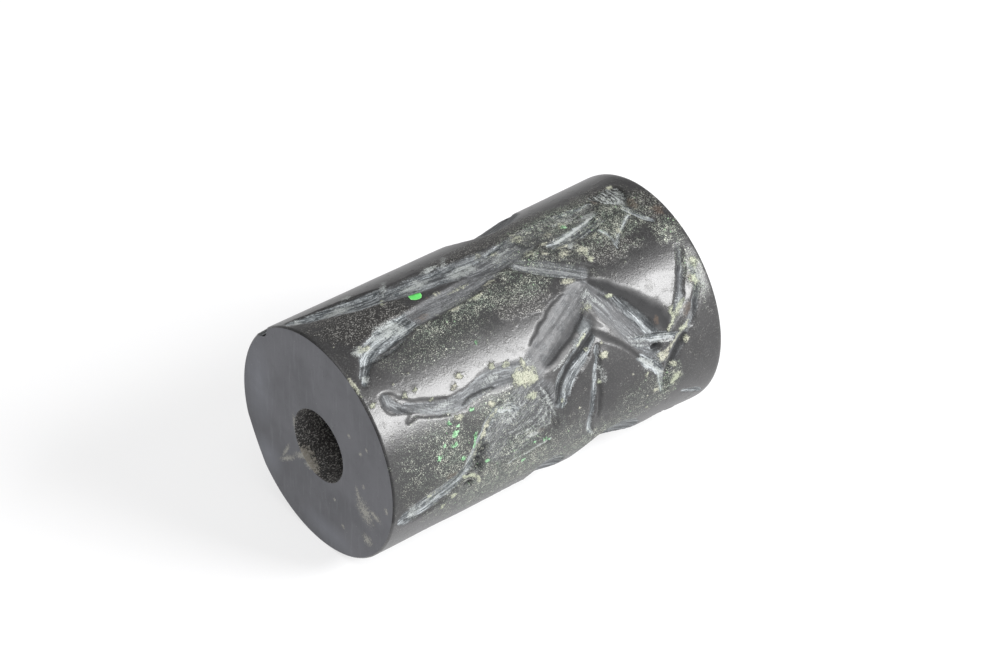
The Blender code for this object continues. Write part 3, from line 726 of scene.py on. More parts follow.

# What lies on the stone. Long burial left cream and green crusts in the cuts, and pale dust in
# the grain of the unpolished ground. Handling has rubbed the high places clean. The same layers
# also carry painted shade, painted highlight and painted reflection of the floor.


def settle_crusts(barrel):
    """Cream and olive crusts, each (along, turn, half length, half width, how thick it lies)."""
    for *spot, thickness in (
        (-16.5, 41, 0.45, 0.35, 0.6), (-13.4, 43.5, 0.55, 0.4, 0.7), (-12.4, 42.5, 0.5, 0.4, 0.6),
        (-11.4, 50, 0.4, 0.3, 0.6), (-8.2, 46, 0.6, 0.4, 0.8), (-9, 49.5, 0.6, 0.45, 0.6),
        (-5.1, 48.5, 0.5, 0.4, 0.8), (-3.8, 51, 0.7, 0.5, 0.6), (-2.6, 60, 1.5, 1.1, 1.0),
        (-1.8, 62.5, 0.7, 0.6, 1.0), (-3.2, 58, 0.6, 0.6, 0.9), (-2.3, 54, 0.4, 0.8, 0.7),
        (-2.3, 70, 0.9, 0.6, 0.8), (-6.2, 64.5, 0.5, 0.4, 0.8), (-9.6, 63, 0.7, 0.4, 0.7),
        (0.6, 79.5, 0.35, 0.3, 0.8), (4.5, 79.5, 0.3, 0.3, 0.8), (5.4, 67, 0.6, 0.5, 0.9),
        (4.0, 61.5, 0.35, 0.3, 0.7), (5.5, 61, 0.3, 0.25, 0.7), (5.6, 43, 0.9, 0.7, 0.55),
        (8.0, 42.3, 0.5, 0.22, 0.9), (4.7, -10, 0.7, 1.0, 0.6), (2.1, -8, 0.7, 0.7, 0.6),
        (0.8, -10, 0.4, 0.5, 0.6), (5.9, 3.5, 0.6, 0.5, 0.7), (5.1, 8.5, 0.5, 0.5, 0.6),
        (6.6, 14, 1.0, 0.6, 0.65), (8.2, 16, 0.8, 1.0, 0.65), (8.2, 22.5, 0.6, 0.5, 0.9),
        (5.2, 27.5, 1.1, 0.6, 0.75), (9.4, 88, 0.4, 0.4, 0.7), (12.3, 89.5, 0.35, 0.35, 0.8),
        (12.4, 98.5, 1.0, 0.9, 0.85), (10.4, 100, 0.5, 0.4, 0.8), (9.6, 102, 0.18, 0.18, 1.0),
        (9.9, 111.5, 0.2, 0.18, 1.0), (7.9, 83.5, 0.18, 0.18, 0.9), (2.1, 88, 0.18, 0.18, 0.9),
        (10.8, 31.5, 0.2, 0.2, 0.8), (-10.9, 104.5, 0.6, 0.5, 0.9), (-11.8, 109, 0.5, 0.5, 0.7),
        (11.4, 82, 1.0, 0.9, 0.7), (13.6, 72.8, 0.8, 0.5, 0.85), (13.8, 78, 0.5, 0.5, 0.8),
        (16.1, 53, 0.5, 0.9, 0.8), (16.6, 45, 0.5, 0.8, 0.75), (15.4, -13.5, 0.4, 0.4, 0.8),
        (-14.1, 13.8, 1.0, 0.5, 0.7), (-16.2, 6, 0.2, 0.2, 0.8), (-12.2, 34.5, 0.16, 0.16, 0.8),
        (-13.9, 36, 0.16, 0.16, 0.8), (12.2, 15.5, 0.5, 0.4, 0.6), (8.9, -4.5, 0.8, 0.9, 0.6),
        (7.2, -2.5, 0.6, 0.5, 0.55), (4.2, 4.5, 0.9, 0.8, 0.6), (6.9, 9.5, 0.9, 0.7, 0.6),
        (10.2, 12, 0.7, 0.6, 0.5), (-5.3, 3, 0.6, 0.35, 0.65), (-0.7, 10, 1.1, 0.4, 0.65),
        (-2.8, 14.5, 1.5, 0.35, 0.7), (-5.3, 15.5, 1.0, 0.3, 0.75), (-3.2, 4.6, 1.8, 0.3, 0.6),
        (-9.8, -6.5, 0.4, 0.4, 0.7), (-9.3, -10, 0.3, 0.3, 0.7), (12.9, 63, 0.5, 0.8, 0.7),
        (-9.0, 83, 0.5, 0.7, 0.5), (9.5, 172, 0.9, 0.6, 0.8), (6.4, 181, 0.5, 0.4, 0.7),
        (-8.2, 209, 1.0, 0.7, 0.8), (-3.6, 218, 0.5, 0.5, 0.7), (7.6, 259, 0.8, 0.5, 0.8),
        (2.2, 266, 0.4, 0.4, 0.7), (-11.8, 296, 0.8, 0.6, 0.8), (13.2, 309, 0.6, 0.6, 0.7),
        (-13.2, 97, 0.7, 0.5, 0.5), (-17.0, 30, 0.35, 1.6, 0.7),
    ):
        barrel.dab("crust", thickness, *spot)
    for thickness, places in (
        (0.85, [(-9.9, 95.5, 0.5), (-9.0, 96.3, 0.6), (-8.5, 99, 0.6), (-8.1, 104, 0.5)]),
        (0.75, [(-5.9, 68.5, 0.4), (-6.9, 72.5, 0.7), (-7.7, 77, 0.5)]),
        (0.8, [(14.4, 59, 0.45), (13.3, 64.5, 0.6), (12.2, 70, 0.6)]),
        # Along the crest below the armpit, this thin crust is partly painted highlight on the ridge.
        (0.85, [(4.2, 54.2, 0.35), (3.2, 57.5, 0.45)]),
        (0.7, [(10.9, 81, 0.6), (12.2, 78.4, 0.7), (13.3, 74, 0.9), (14.3, 70.6, 0.6)]),
        (0.5, [(-7.4, 76, 0.5), (-8.2, 82, 0.9), (-9.2, 88, 0.7)]),
    ):
        barrel.smear("crust", thickness, places)


def settle_the_rest(barrel):
    """Green copper salts, granular dust, dark soil, grey film that also paints the floor's reflection, rust,
    pale rubbing of the cuts, and painted shade.

    Each spot is (along, turn, half length, half width).
    """
    for name, amount, spots in (
        ("green", 0.8, (
            (-10.6, 64, 0.35, 0.4), (-8.2, 62.5, 0.4, 0.3), (-10.3, 70, 0.5, 0.5), (-11.2, 68, 0.25, 0.2),
            (-9.9, 67, 0.25, 0.2), (-10.6, 75, 0.5, 0.3), (-8.45, 76, 0.35, 0.75), (-2.6, 95, 0.35, 0.3),
            (-1.4, 96, 0.4, 0.4), (-1.0, 98, 0.3, 0.3), (8.9, -3, 0.5, 0.6), (-5.3, 35.5, 0.4, 0.35),
            (-10, 84, 0.5, 0.5), (-11.5, 73, 0.35, 0.3), (-3.6, 104, 0.5, 0.3), (-8.6, 81, 0.4, 0.5),
            (-7.6, 92, 0.4, 0.4), (-12.2, 78, 0.5, 0.5),
        )),
        ("dust", 0.9, (
            (-3.0, 18.0, 5.0, 1.4), (-8.0, 21.0, 3.2, 1.1), (-11.2, 78, 2.9, 4.2), (-5, 108, 9.5, 4.0),
            (4, 116, 7.0, 2.4), (1.5, 21, 3.0, 1.5), (11.7, 14, 4.2, 1.4), (16, 26, 1.8, 1.8),
            (8.5, -12, 5.5, 1.6), (-6, 66, 3.0, 1.6), (-4, 92, 4.0, 1.6), (11.5, 100, 2.0, 2.6),
            (8.4, 16, 1.2, 1.2), (8.7, -3, 3.0, 1.8), (12.5, 5, 4.5, 3.4), (4.2, 6, 1.6, 1.6),
            (1, 11, 1.2, 1.0), (16.2, 48, 1.2, 3.2),
        )),
        ("dust", 0.35, (
            (-6, 92, 9.0, 7.0), (9, 104, 4.0, 3.6), (8, 4, 10.0, 5.0), (-8, 27, 7.0, 2.4),
            (9, 176, 5.0, 4.0), (-7, 214, 7.0, 4.4), (6, 262, 6.0, 3.0), (-11, 292, 4.0, 3.0),
            (12, 312, 3.6, 3.0), (-13.4, 78, 4.4, 5.0),
        )),
        ("soil", 1.0, (
            (-12.5, -2, 4.8, 2.6), (-9, 9, 2.4, 1.4), (-14.5, -14, 2.6, 0.9), (-3, 12, 3.6, 0.9),
            (13, -8, 3.6, 2.6), (8, -4, 3.6, 1.8), (4.5, 3, 1.6, 1.6), (16.2, 8, 1.4, 2.6),
            (3.5, -18, 9.0, 1.3), (0.5, 27, 3.0, 1.6), (10, 20, 3.6, 1.6),
        )),
        # A grey film; along the lower edge it also stands in for painted reflection of the pale floor.
        ("film_and_reflection", 0.8, (
            (-5, 117, 13.0, 5.0), (1, 124, 17.0, 3.0), (-14.5, 120, 6.0, 3.8), (-1, 200, 30.0, 12.0),
        )),
        ("rust", 0.8, (
            (13.0, -7.5, 0.6, 0.7), (15.2, 4, 1.0, 1.4), (16.6, 15, 0.8, 1.2), (11.2, 63.5, 0.6, 0.7),
            (-1.8, 90, 0.8, 0.5), (-11.2, 90.5, 0.9, 0.5), (14.4, 65, 1.2, 1.1), (-7.9, 11, 0.9, 0.7),
            (15.8, 52, 0.5, 1.2), (-6.3, 2.6, 0.25, 0.3),
        )),
        ("pale", 0.7, (
            (-15.8, -25, 0.6, 1.2), (-10.8, -27, 0.6, 0.6), (-11, 8, 1.8, 0.8), (-5.3, -14, 0.8, 0.4),
            (-3.5, -17, 1.2, 0.5), (-15.7, 28, 0.6, 0.8), (-15.1, 102, 0.8, 1.2), (-14.6, 14, 1.1, 0.6),
            (-12.5, -19.5, 2.4, 0.8), (-6, -10, 2.6, 0.9), (-1.5, -5, 2.2, 1.0), (-11, 11.5, 2.4, 0.8),
            (11.3, -2.5, 1.2, 0.7),
        )),
        ("pale", 0.45, (
            (-5.2, 73, 1.6, 1.3), (-7.4, 78, 0.6, 0.8), (-9.6, 89, 0.5, 1.0), (-3.2, 82, 1.6, 0.4),
            (-14.6, 99.5, 1.6, 0.9), (-5.5, 54, 1.6, 0.4), (-10.5, 55, 1.6, 0.5), (4.9, 75, 0.5, 1.5),
            (10, 84, 1.4, 0.9), (5.9, 39, 0.9, 1.5), (16.4, 50, 0.8, 2.8), (13.9, 63, 0.8, 1.6),
            (-1.6, 57, 0.9, 1.4), (-2.4, 70, 1.2, 0.9), (7.5, 9, 1.4, 1.2), (1.6, -6, 1.6, 1.0),
            (9.4, -6.5, 1.6, 0.8),
        )),
        ("cut", 0.75, ((4.4, 51.5, 1.3, 1.5),)),
        ("cut", 0.7, ((3.4, 57, 1.0, 1.0),)),
        # Painted shade beside the armpit and in the pocket between the neck and the horn.
        ("shade", 0.7, ((5.3, 50.0, 1.0, 1.5),)),
        ("shade", 1.0, ((11.3, 61.5, 1.5, 1.7),)),
        ("shade", 0.9, ((12.0, 66.5, 0.9, 1.2),)),
    ):
        for spot in spots:
            barrel.dab(name, amount, *spot)


def rub_and_shade_the_cuts(barrel):
    """Pale bruised streaks in the cuts, some of them painted highlight on the neck and on a crest, and dark
    streaks of painted shade and dirt along them.
    """
    for name, amount, places in (
        ("pale", 0.6, [(-8.6, -14, 0.7), (-7.2, -25, 0.9)]),
        ("pale", 0.6, [(-2.3, -15, 0.7), (-1.4, -21, 0.9)]),
        ("pale", 0.9, [(6.9, 4.6, 0.3), (9, 2.8, 0.45), (10.6, 1.0, 0.45), (11.7, -0.4, 0.3)]),
        # Painted shade down the right side of the neck.
        ("shade", 0.55, [(7.2, 40, 0.4), (8.3, 48, 0.8), (9.0, 56, 0.8), (9.8, 64, 0.6)]),
        # Partly painted highlight along the top of the neck.
        ("pale", 0.5, [(6.2, 35, 0.5), (6.6, 41, 0.7), (7.0, 46, 0.5)]),
        ("pale", 0.6, [(2, 9.5, 0.3), (3.6, 18, 0.35), (5.8, 26.5, 0.3)]),
        # Partly painted highlight on the crest below the armpit.
        ("pale", 0.6, [(4.6, 52, 0.3), (2.8, 56.8, 0.4), (0.4, 63.5, 0.3)]),
        ("pale", 0.6, [(-1.5, 66, 0.3), (-1.0, 72, 0.5), (-0.7, 78, 0.5), (-0.2, 87, 0.4)]),
        ("pale", 0.8, [(-5.3, 100.6, 0.3), (-3, 99.6, 0.35), (-0.8, 98, 0.3)]),
        ("pale", 0.7, [(8.8, 78, 0.6), (9.8, 82.5, 0.9), (10.9, 90.5, 0.5)]),
        ("pale", 0.7, [(1.2, -2, 0.4), (3.5, -7, 0.4)]),
        # A dark band along the near bevel.
        ("shade", 0.9, [(-17.15, 48, 0.4), (-17.15, 70, 0.6), (-17.15, 102, 0.4)]),
        ("shade", 0.8, [(-17.15, -12, 0.4), (-17.15, 0, 0.4)]),
    ):
        barrel.smear(name, amount, places)
    for lead in range(3):
        barrel.smear("pale", 0.5, [
            (8.2, 64.5 + 2.2 * lead, 0.3), (9.8, 68 + 2.4 * lead, 0.35), (12.4, 73 + 1.4 * lead, 0.3),
        ])
        barrel.smear("pale", 0.55, [
            (-5 + 0.7 * lead, 83.8 + 3.6 * lead, 0.5), (-3 + 0.6 * lead, 82.6 + 3.8 * lead, 0.6),
            (-1.6 + 0.3 * lead, 79 + 4 * lead, 0.5), (-1.2 + 0.2 * lead, 74 + 4 * lead, 0.4),
        ])
    for lead in range(5):
        barrel.smear("pale", 0.5, [
            (-5.9 + 0.6 * lead, 67 - 0.4 * lead, 0.2), (-5.5 + 0.5 * lead, 73, 0.35),
            (-4.9 + 0.4 * lead, 79 + 0.6 * lead, 0.2),
        ])


for settle in (settle_crusts, settle_the_rest, rub_and_shade_the_cuts):
    settle(barrel)

# The surface of the stone as one closed body. The barrel lies a hair under the polished skin of
# the blank, and crusts stand up on it. The grain of the finish follows a map of its own.

SKIN_DEPTH = 0.016
CRUST_HEIGHT = 0.03
CRUST_GRIT = 0.06
BARREL_MAP = (0.01, 0.6, 0.01, 0.96)
BORE_MAP = (0.64, 0.33, 0.7, 0.27)
END_MAP_MIDDLES = ((-1, 0.81, 0.17), (1, 0.81, 0.51))
END_MAP_RADIUS = 0.16


def shape_the_stone(mesh, barrel):
    """Moves the barrel's vertices to the engraved surface and keeps the finish at each of them."""
    swell = 0.009 * unevenness(barrel.points, 2.4, 5) + 0.002 * unevenness(barrel.points, 0.8, 6)
    grit = 0.5 + 0.5 * unevenness(barrel.points, 0.28, 7)
    raised = barrel.layer["crust"] * (CRUST_HEIGHT + CRUST_GRIT * grit)
    depth = np.where(barrel.outside, barrel.depth - raised + SKIN_DEPTH + swell, 0.0)
    shrink = (barrel.radius - np.maximum(depth, 0.0)) / barrel.radius
    points = barrel.points.copy()
    points[:, 1] *= shrink
    points[:, 2] = np.maximum(AXIS_HEIGHT + (points[:, 2] - AXIS_HEIGHT) * shrink, 0.0)
    mesh.vertices.foreach_set("co", (points * MM).ravel())
    for name, values in barrel.layer.items():
        mesh.attributes.new(name, "FLOAT", "POINT").data.foreach_set("value", values)
    mesh.attributes.new("flow", "FLOAT_VECTOR", "POINT").data.foreach_set("vector", barrel.flow.ravel())
    mesh.update()


def parts_of(mesh):
    """Which part of the stone each face belongs to, as its finish tells."""
    parts = [finishes.index(finish) if finish else BARREL for finish in mesh.materials]
    return np.array(parts)[read(mesh.polygons, "material_index")]


def lay_out_the_surface(mesh):
    """Unrolls barrel, ends and bore side by side, without overlaps, into the piece's own map."""
    start = read(mesh.polygons, "loop_start")
    corners = read(mesh.polygons, "loop_total")
    face = np.repeat(np.arange(len(corners)), corners)
    part = parts_of(mesh)[face]
    points = read(mesh.vertices, "co", 3, float)[read(mesh.loops, "vertex_index")] / MM
    along, across, up = points[:, 0], points[:, 1], points[:, 2] - AXIS_HEIGHT
    share_along = (along + HALF_LENGTH) / (2 * HALF_LENGTH)
    spread = np.zeros((len(mesh.loops), 2))
    for region, middle, lift in ((BARREL, 0.0, 0.0), (BORE, BORE_OFFSET_Y, BORE_OFFSET_Z)):
        turn = np.degrees(np.arctan2(middle - across, up - lift)) + 180.0
        first = turn[start][face]
        turn = turn + 360.0 * np.round((first - turn) / 360.0)
        lowest = np.minimum.reduceat(turn, start)[face]
        share_round = np.where(lowest < -0.01, turn + 360.0, turn) / 360.0
        here = part == region
        if region == BARREL:
            left, width, bottom, height = BARREL_MAP
            sideways, upward = share_along, share_round
        else:
            left, width, bottom, height = BORE_MAP
            sideways, upward = share_round, share_along
        spread[here, 0] = left + width * sideways[here]
        spread[here, 1] = bottom + height * upward[here]
    for side, middle, height in END_MAP_MIDDLES:
        here = (part == ENDS) & (along * side > 0)
        spread[here, 0] = middle + END_MAP_RADIUS * side * across[here] / BARREL_RADIUS
        spread[here, 1] = height + END_MAP_RADIUS * up[here] / BARREL_RADIUS
    mesh.uv_layers.new(name="OFBake").data.foreach_set("uv", spread.ravel())


def keep_edges_crisp(mesh):
    """Smooth all over, with a crisp edge where the barrel, the ends and the bore meet."""
    mesh.shade_smooth()
    edge_of_corner = read(mesh.loops, "edge_index")
    part = np.repeat(parts_of(mesh), read(mesh.polygons, "loop_total"))
    least = np.full(len(mesh.edges), BORE)
    most = np.full(len(mesh.edges), BARREL)
    np.minimum.at(least, edge_of_corner, part)
    np.maximum.at(most, edge_of_corner, part)
    mesh.attributes.new("sharp_edge", "BOOLEAN", "EDGE").data.foreach_set("value", least != most)


shape_the_stone(stone_mesh, barrel)
lay_out_the_surface(stone_mesh)
keep_edges_crisp(stone_mesh)

# The finish of the barrel. The stone is nearly black, close-grained and hand polished, so it
# shines softly over a faint pitting. Cut places are matt and bluish grey, scored along the cut.

STONE_IOR = 1.55
SMOOTHEST = 0.2
ROUGHEST = 0.95


class Finish(Tree):
    """A surface finish, made of shader nodes round one Principled shader."""

    def __init__(self, material):
        material.use_nodes = True
        super().__init__(material.node_tree)
        self.shader = material.node_tree.nodes["Principled BSDF"]
        self.shader.inputs["IOR"].default_value = STONE_IOR
        place = self.add("ShaderNodeTexCoord", output="Object")
        self.place = self.add("ShaderNodeMapping", None, {"Vector": place, "Scale": (1 / MM, 1 / MM, 1 / MM)})
        self.colour = None

    def layer(self, name):
        """A finish layer that is kept on the mesh."""
        return self.add("ShaderNodeAttribute", {"attribute_name": name}, output="Fac")

    def noise(self, size, detail=2.0, roughness=0.55, where=None):
        """Noise from 0 to 1 with lumps about size millimetres across."""
        inputs = {"Vector": where or self.place, "Scale": 1 / size, "Detail": detail, "Roughness": roughness}
        return self.add("ShaderNodeTexNoise", None, inputs)

    def scoring(self, pitch, length, lean=0.0):
        """Noise drawn out along the cut, with lines pitch apart and length long, in millimetres."""
        flow = self.add("ShaderNodeAttribute", {"attribute_name": "flow"}, output="Vector")
        turned = self.add("ShaderNodeMapping", None, {"Vector": flow, "Rotation": (0.0, 0.0, lean)})
        drawn = self.add("ShaderNodeMapping", None, {"Vector": turned, "Scale": (1 / length, 1 / pitch, 1.0)})
        return self.noise(1.0, 1.0, 0.6, drawn)

    def grains(self, spacing, radius, amount):
        """Scattered grains and a chance value for each. Amount is the share of grains that are there."""
        cells = {"Vector": self.place, "Scale": 1 / spacing, "Randomness": 1.0}
        away = self.add("ShaderNodeTexVoronoi", {"feature": "F1"}, cells)
        first = self.add("ShaderNodeSeparateColor", None, {"Color": away.other("Color")})
        there = (amount - first).rising(0.0, 0.05)
        return (radius / spacing - away).rising(0.0, 0.12) * there, first.other("Green")

    def spot(self, place, half_sizes, lean=0.0):
        """A soft spot, 1 in its middle and 0 outside its ellipsoid. Millimetres, and degrees round X."""
        turned = (math.radians(lean), 0.0, 0.0)
        inputs = {"Vector": self.place, "Location": place, "Rotation": turned, "Scale": half_sizes}
        near = self.add("ShaderNodeMapping", {"vector_type": "TEXTURE"}, inputs)
        away = self.add("ShaderNodeVectorMath", {"operation": "LENGTH"}, {"Vector": near}, output="Value")
        return (1.0 - away).kept_in()

    def end_spots(self, spots):
        """Soft spots on the ends: (side, aside, height, half width, half height), and perhaps a lean."""
        strongest = None
        for side, aside, height, half_width, half_height, *lean in spots:
            place = (side * HALF_LENGTH, aside, AXIS_HEIGHT + height)
            spot = self.spot(place, (1.0, half_width, half_height), *lean)
            strongest = strongest.more_of(spot) if strongest else spot
        return strongest

    def blend(self, share, first, second):
        """A colour that goes from the first to the second as the share goes from 0 to 1."""
        inputs = {0: share}
        for place, colour in ((6, first), (7, second)):
            inputs[place] = colour if isinstance(colour, Value) else (*colour, 1.0)
        return self.add("ShaderNodeMix", {"data_type": "RGBA"}, inputs, output=2)

    def coat(self, share, colour):
        """Lays a colour over what is there, as thick as the share."""
        self.colour = self.blend(share, self.colour, colour)

    def wear(self, roughness, height):
        """Sets the shader to the colour so far, a roughness, and a height in millimetres."""
        self.feed(self.shader.inputs["Base Color"], self.colour)
        self.feed(self.shader.inputs["Roughness"], roughness.kept_in(SMOOTHEST, ROUGHEST))
        bump = self.add("ShaderNodeBump", None, {"Strength": 1.0, "Distance": MM, "Height": height})
        self.feed(self.shader.inputs["Normal"], bump)


def polish_the_stone(material):
    """The barrel: polished stone, a grey film that partly paints the floor's reflection, soil, cuts with
    painted shade and dirt, dust, stains, crusts and a green flake ringed with painted shade.
    """
    finish = Finish(material)
    cut, shade, polish, film_and_reflection = (finish.layer(name) for name in ("cut", "shade", "polish", "film_and_reflection"))
    dust, soil, crust, green = (finish.layer(name) for name in ("dust", "soil", "crust", "green"))
    rust, pale = finish.layer("rust"), finish.layer("pale")
    cloud = finish.noise(3.0, 3.0)
    mottle = finish.noise(0.7, 3.0, 0.6)
    lumps = finish.noise(0.3, 3.0, 0.7)
    salt = finish.noise(0.12, 1.0, 0.8)
    pepper = finish.noise(0.10, 1.0, 0.8)
    peel = finish.noise(0.15, 1.0)

    finish.colour = finish.blend(cloud.rising(0.3, 0.7), (0.018, 0.0175, 0.018), (0.030, 0.029, 0.030))
    # Grey film, which along the lower edge is partly painted reflection of the floor.
    finish.coat((film_and_reflection * (0.4 + 1.2 * mottle)).kept_in(), (0.078, 0.078, 0.081))
    finish.coat(salt.rising(0.5, 0.72) * (0.15 + 0.3 * film_and_reflection), (0.22, 0.225, 0.22))
    finish.coat(pepper.rising(0.54, 0.7) * 0.6, (0.014, 0.014, 0.014))
    earth = (soil * 0.7 + mottle - 0.5).rising(0.0, 0.4)
    finish.coat(earth * 0.8, (0.016, 0.015, 0.014))
    finish.coat(earth * salt.rising(0.54, 0.66) * 0.85, (0.26, 0.255, 0.24))

    # The cuts: scored, bruised pale and dark by turns, and half polished again where they are worn. Painted
    # shade and dirt darken their grooves and hollows.
    fine = finish.scoring(0.11, 2.2)
    crossed = finish.scoring(0.14, 1.8, -0.2)
    coarse = finish.scoring(0.4, 4.0)
    streak = 0.45 * fine + 0.3 * crossed + 0.25 * coarse
    worn = 0.65 * streak + 0.17 * lumps + 0.18 * salt
    bruise = (coarse + 0.6 * (mottle - 0.5)).rising(0.35, 0.65)
    cut_colour = finish.blend(bruise, (0.055, 0.064, 0.070), (0.22, 0.236, 0.244))
    cut_colour = finish.blend(worn.rising(0.51, 0.60), cut_colour, (0.42, 0.45, 0.465))
    cut_colour = finish.blend(worn.rising(0.49, 0.42), cut_colour, (0.022, 0.025, 0.028))
    opened = (cut + 1.0 * (mottle - 0.5) + 0.7 * (salt - 0.5) + 0.5 * (streak - 0.5)).rising(0.15, 0.85)
    opened = opened * cut.rising(0.0, 0.2)
    finish.coat(opened * 0.9, cut_colour)
    satin = 4.0 * polish * (1.0 - polish)
    satin_colour = finish.blend(worn.rising(0.44, 0.62), (0.055, 0.056, 0.060), (0.14, 0.143, 0.148))
    finish.coat(satin * (0.5 + 0.5 * mottle), satin_colour)
    # Painted shade and dirt: near black where the shade layer is strong, with pale scoring showing through.
    shade_and_dirt = (shade ** 1.3 * (0.35 + 0.8 * streak + 0.7 * mottle)).kept_in()
    finish.coat(shade_and_dirt * 0.92, (0.010, 0.010, 0.011))
    finish.coat(shade_and_dirt * worn.rising(0.56, 0.66) * 0.5, (0.19, 0.20, 0.205))

    # Dust: fine pale powder over darkened stone, coarser grit of several hues, and stray specks.
    dusted = (dust * (0.5 + mottle)).kept_in()
    flour = finish.noise(0.085, 1.0, 0.8)
    powder = (0.7 * flour + 0.3 * lumps + 0.09 * dusted).rising(0.58, 0.67) * dusted.rising(0.0, 0.25)
    finish.coat(dusted * 0.6 * (1.0 - 0.7 * opened), (0.014, 0.016, 0.015))
    finish.coat(powder * 0.8, finish.blend(mottle.rising(0.4, 0.6), (0.22, 0.26, 0.21), (0.42, 0.44, 0.37)))
    grit, hue = finish.grains(0.3, 0.09, dusted * 0.22)
    finish.coat(grit * 0.8, finish.blend(hue.rising(0.3, 0.7), (0.22, 0.34, 0.20), (0.50, 0.51, 0.44)))
    finish.coat(finish.grains(1.0, 0.1, 0.25 + 0.3 * cloud)[0] * 0.6, (0.36, 0.37, 0.34))

    # Pale bruises, some of them painted highlight, then rust, crusts and copper salts, each with an edge that
    # the noise breaks up.
    rubbing_and_highlight = (pale * 0.7 + 0.8 * (worn - 0.5) + 0.8 * (salt - 0.5) + 0.8 * (mottle - 0.5)).rising(0.15, 0.65)
    rubbing_and_highlight = rubbing_and_highlight * pale.rising(0.0, 0.15)
    finish.coat(rubbing_and_highlight * 0.8, (0.36, 0.38, 0.37))
    rusted = (rust + 1.2 * (lumps - 0.5) + 0.8 * (salt - 0.5) + 0.8 * (mottle - 0.5)).rising(0.4, 1.0)
    finish.coat(rusted * 0.5, (0.09, 0.060, 0.040))
    crusted = 0.9 * crust + 1.3 * (lumps - 0.5) + 0.7 * (salt - 0.5) + 0.6 * (mottle - 0.5)
    crusted = crusted.rising(0.25, 0.75) * crust.rising(0.0, 0.15)
    crust_colour = finish.blend(cloud.rising(0.35, 0.65), (0.40, 0.43, 0.32), (0.48, 0.47, 0.38))
    crust_colour = finish.blend(pepper.rising(0.46, 0.66) * 0.8, crust_colour, (0.12, 0.13, 0.09))
    finish.coat(crusted * 0.8, crust_colour)
    greened = (green + 1.4 * (lumps - 0.5) + 0.9 * (salt - 0.5)).rising(0.5, 0.75) * green.rising(0.0, 0.2)
    finish.coat(greened * 0.8, finish.blend(lumps.rising(0.4, 0.6), (0.12, 0.34, 0.14), (0.34, 0.60, 0.36)))

    # One bright green flake in a stroke of the hero, ringed with painted shade.
    along, arc = set_on_barrel(-6.9, -1.7)
    turn = arc / BARREL_RADIUS
    place = (along, -BARREL_RADIUS * math.sin(turn), AXIS_HEIGHT + BARREL_RADIUS * math.cos(turn))
    flake = finish.spot(place, (0.8, 0.75, 2.0)) + 0.3 * (lumps - 0.5)
    finish.coat(flake.rising(0.1, 0.2) * 0.9, (0.012, 0.014, 0.012))
    flake_colour = finish.blend(flake.rising(0.3, 0.42), (0.22, 0.66, 0.20), (0.10, 0.55, 0.11))
    finish.coat(flake.rising(0.27, 0.31), flake_colour)

    covered = crusted.more_of(greened).more_of(flake.rising(0.27, 0.31))
    rough = 0.31 + 0.05 * salt + 0.05 * film_and_reflection + 0.28 * opened + 0.1 * dusted + 0.1 * earth + 0.2 * rubbing_and_highlight
    rough = rough + 0.18 * satin + 0.4 * covered + 0.5 * shade_and_dirt
    height = 0.009 * peel + 0.004 * salt + opened * (0.012 * fine + 0.012 * crossed + 0.02 * coarse)
    height = height + (0.02 * dusted + 0.018 * earth) * (salt + pepper) + 0.015 * grit
    finish.wear(rough, height + satin * 0.008 * streak + covered * 0.05 * (0.5 + lumps))


polish_the_stone(finishes[BARREL])

# The finish of the ends. They were only ground flat, so they are matt and greyer, with faint marks
# of the grinding, and a few pale scuffs.


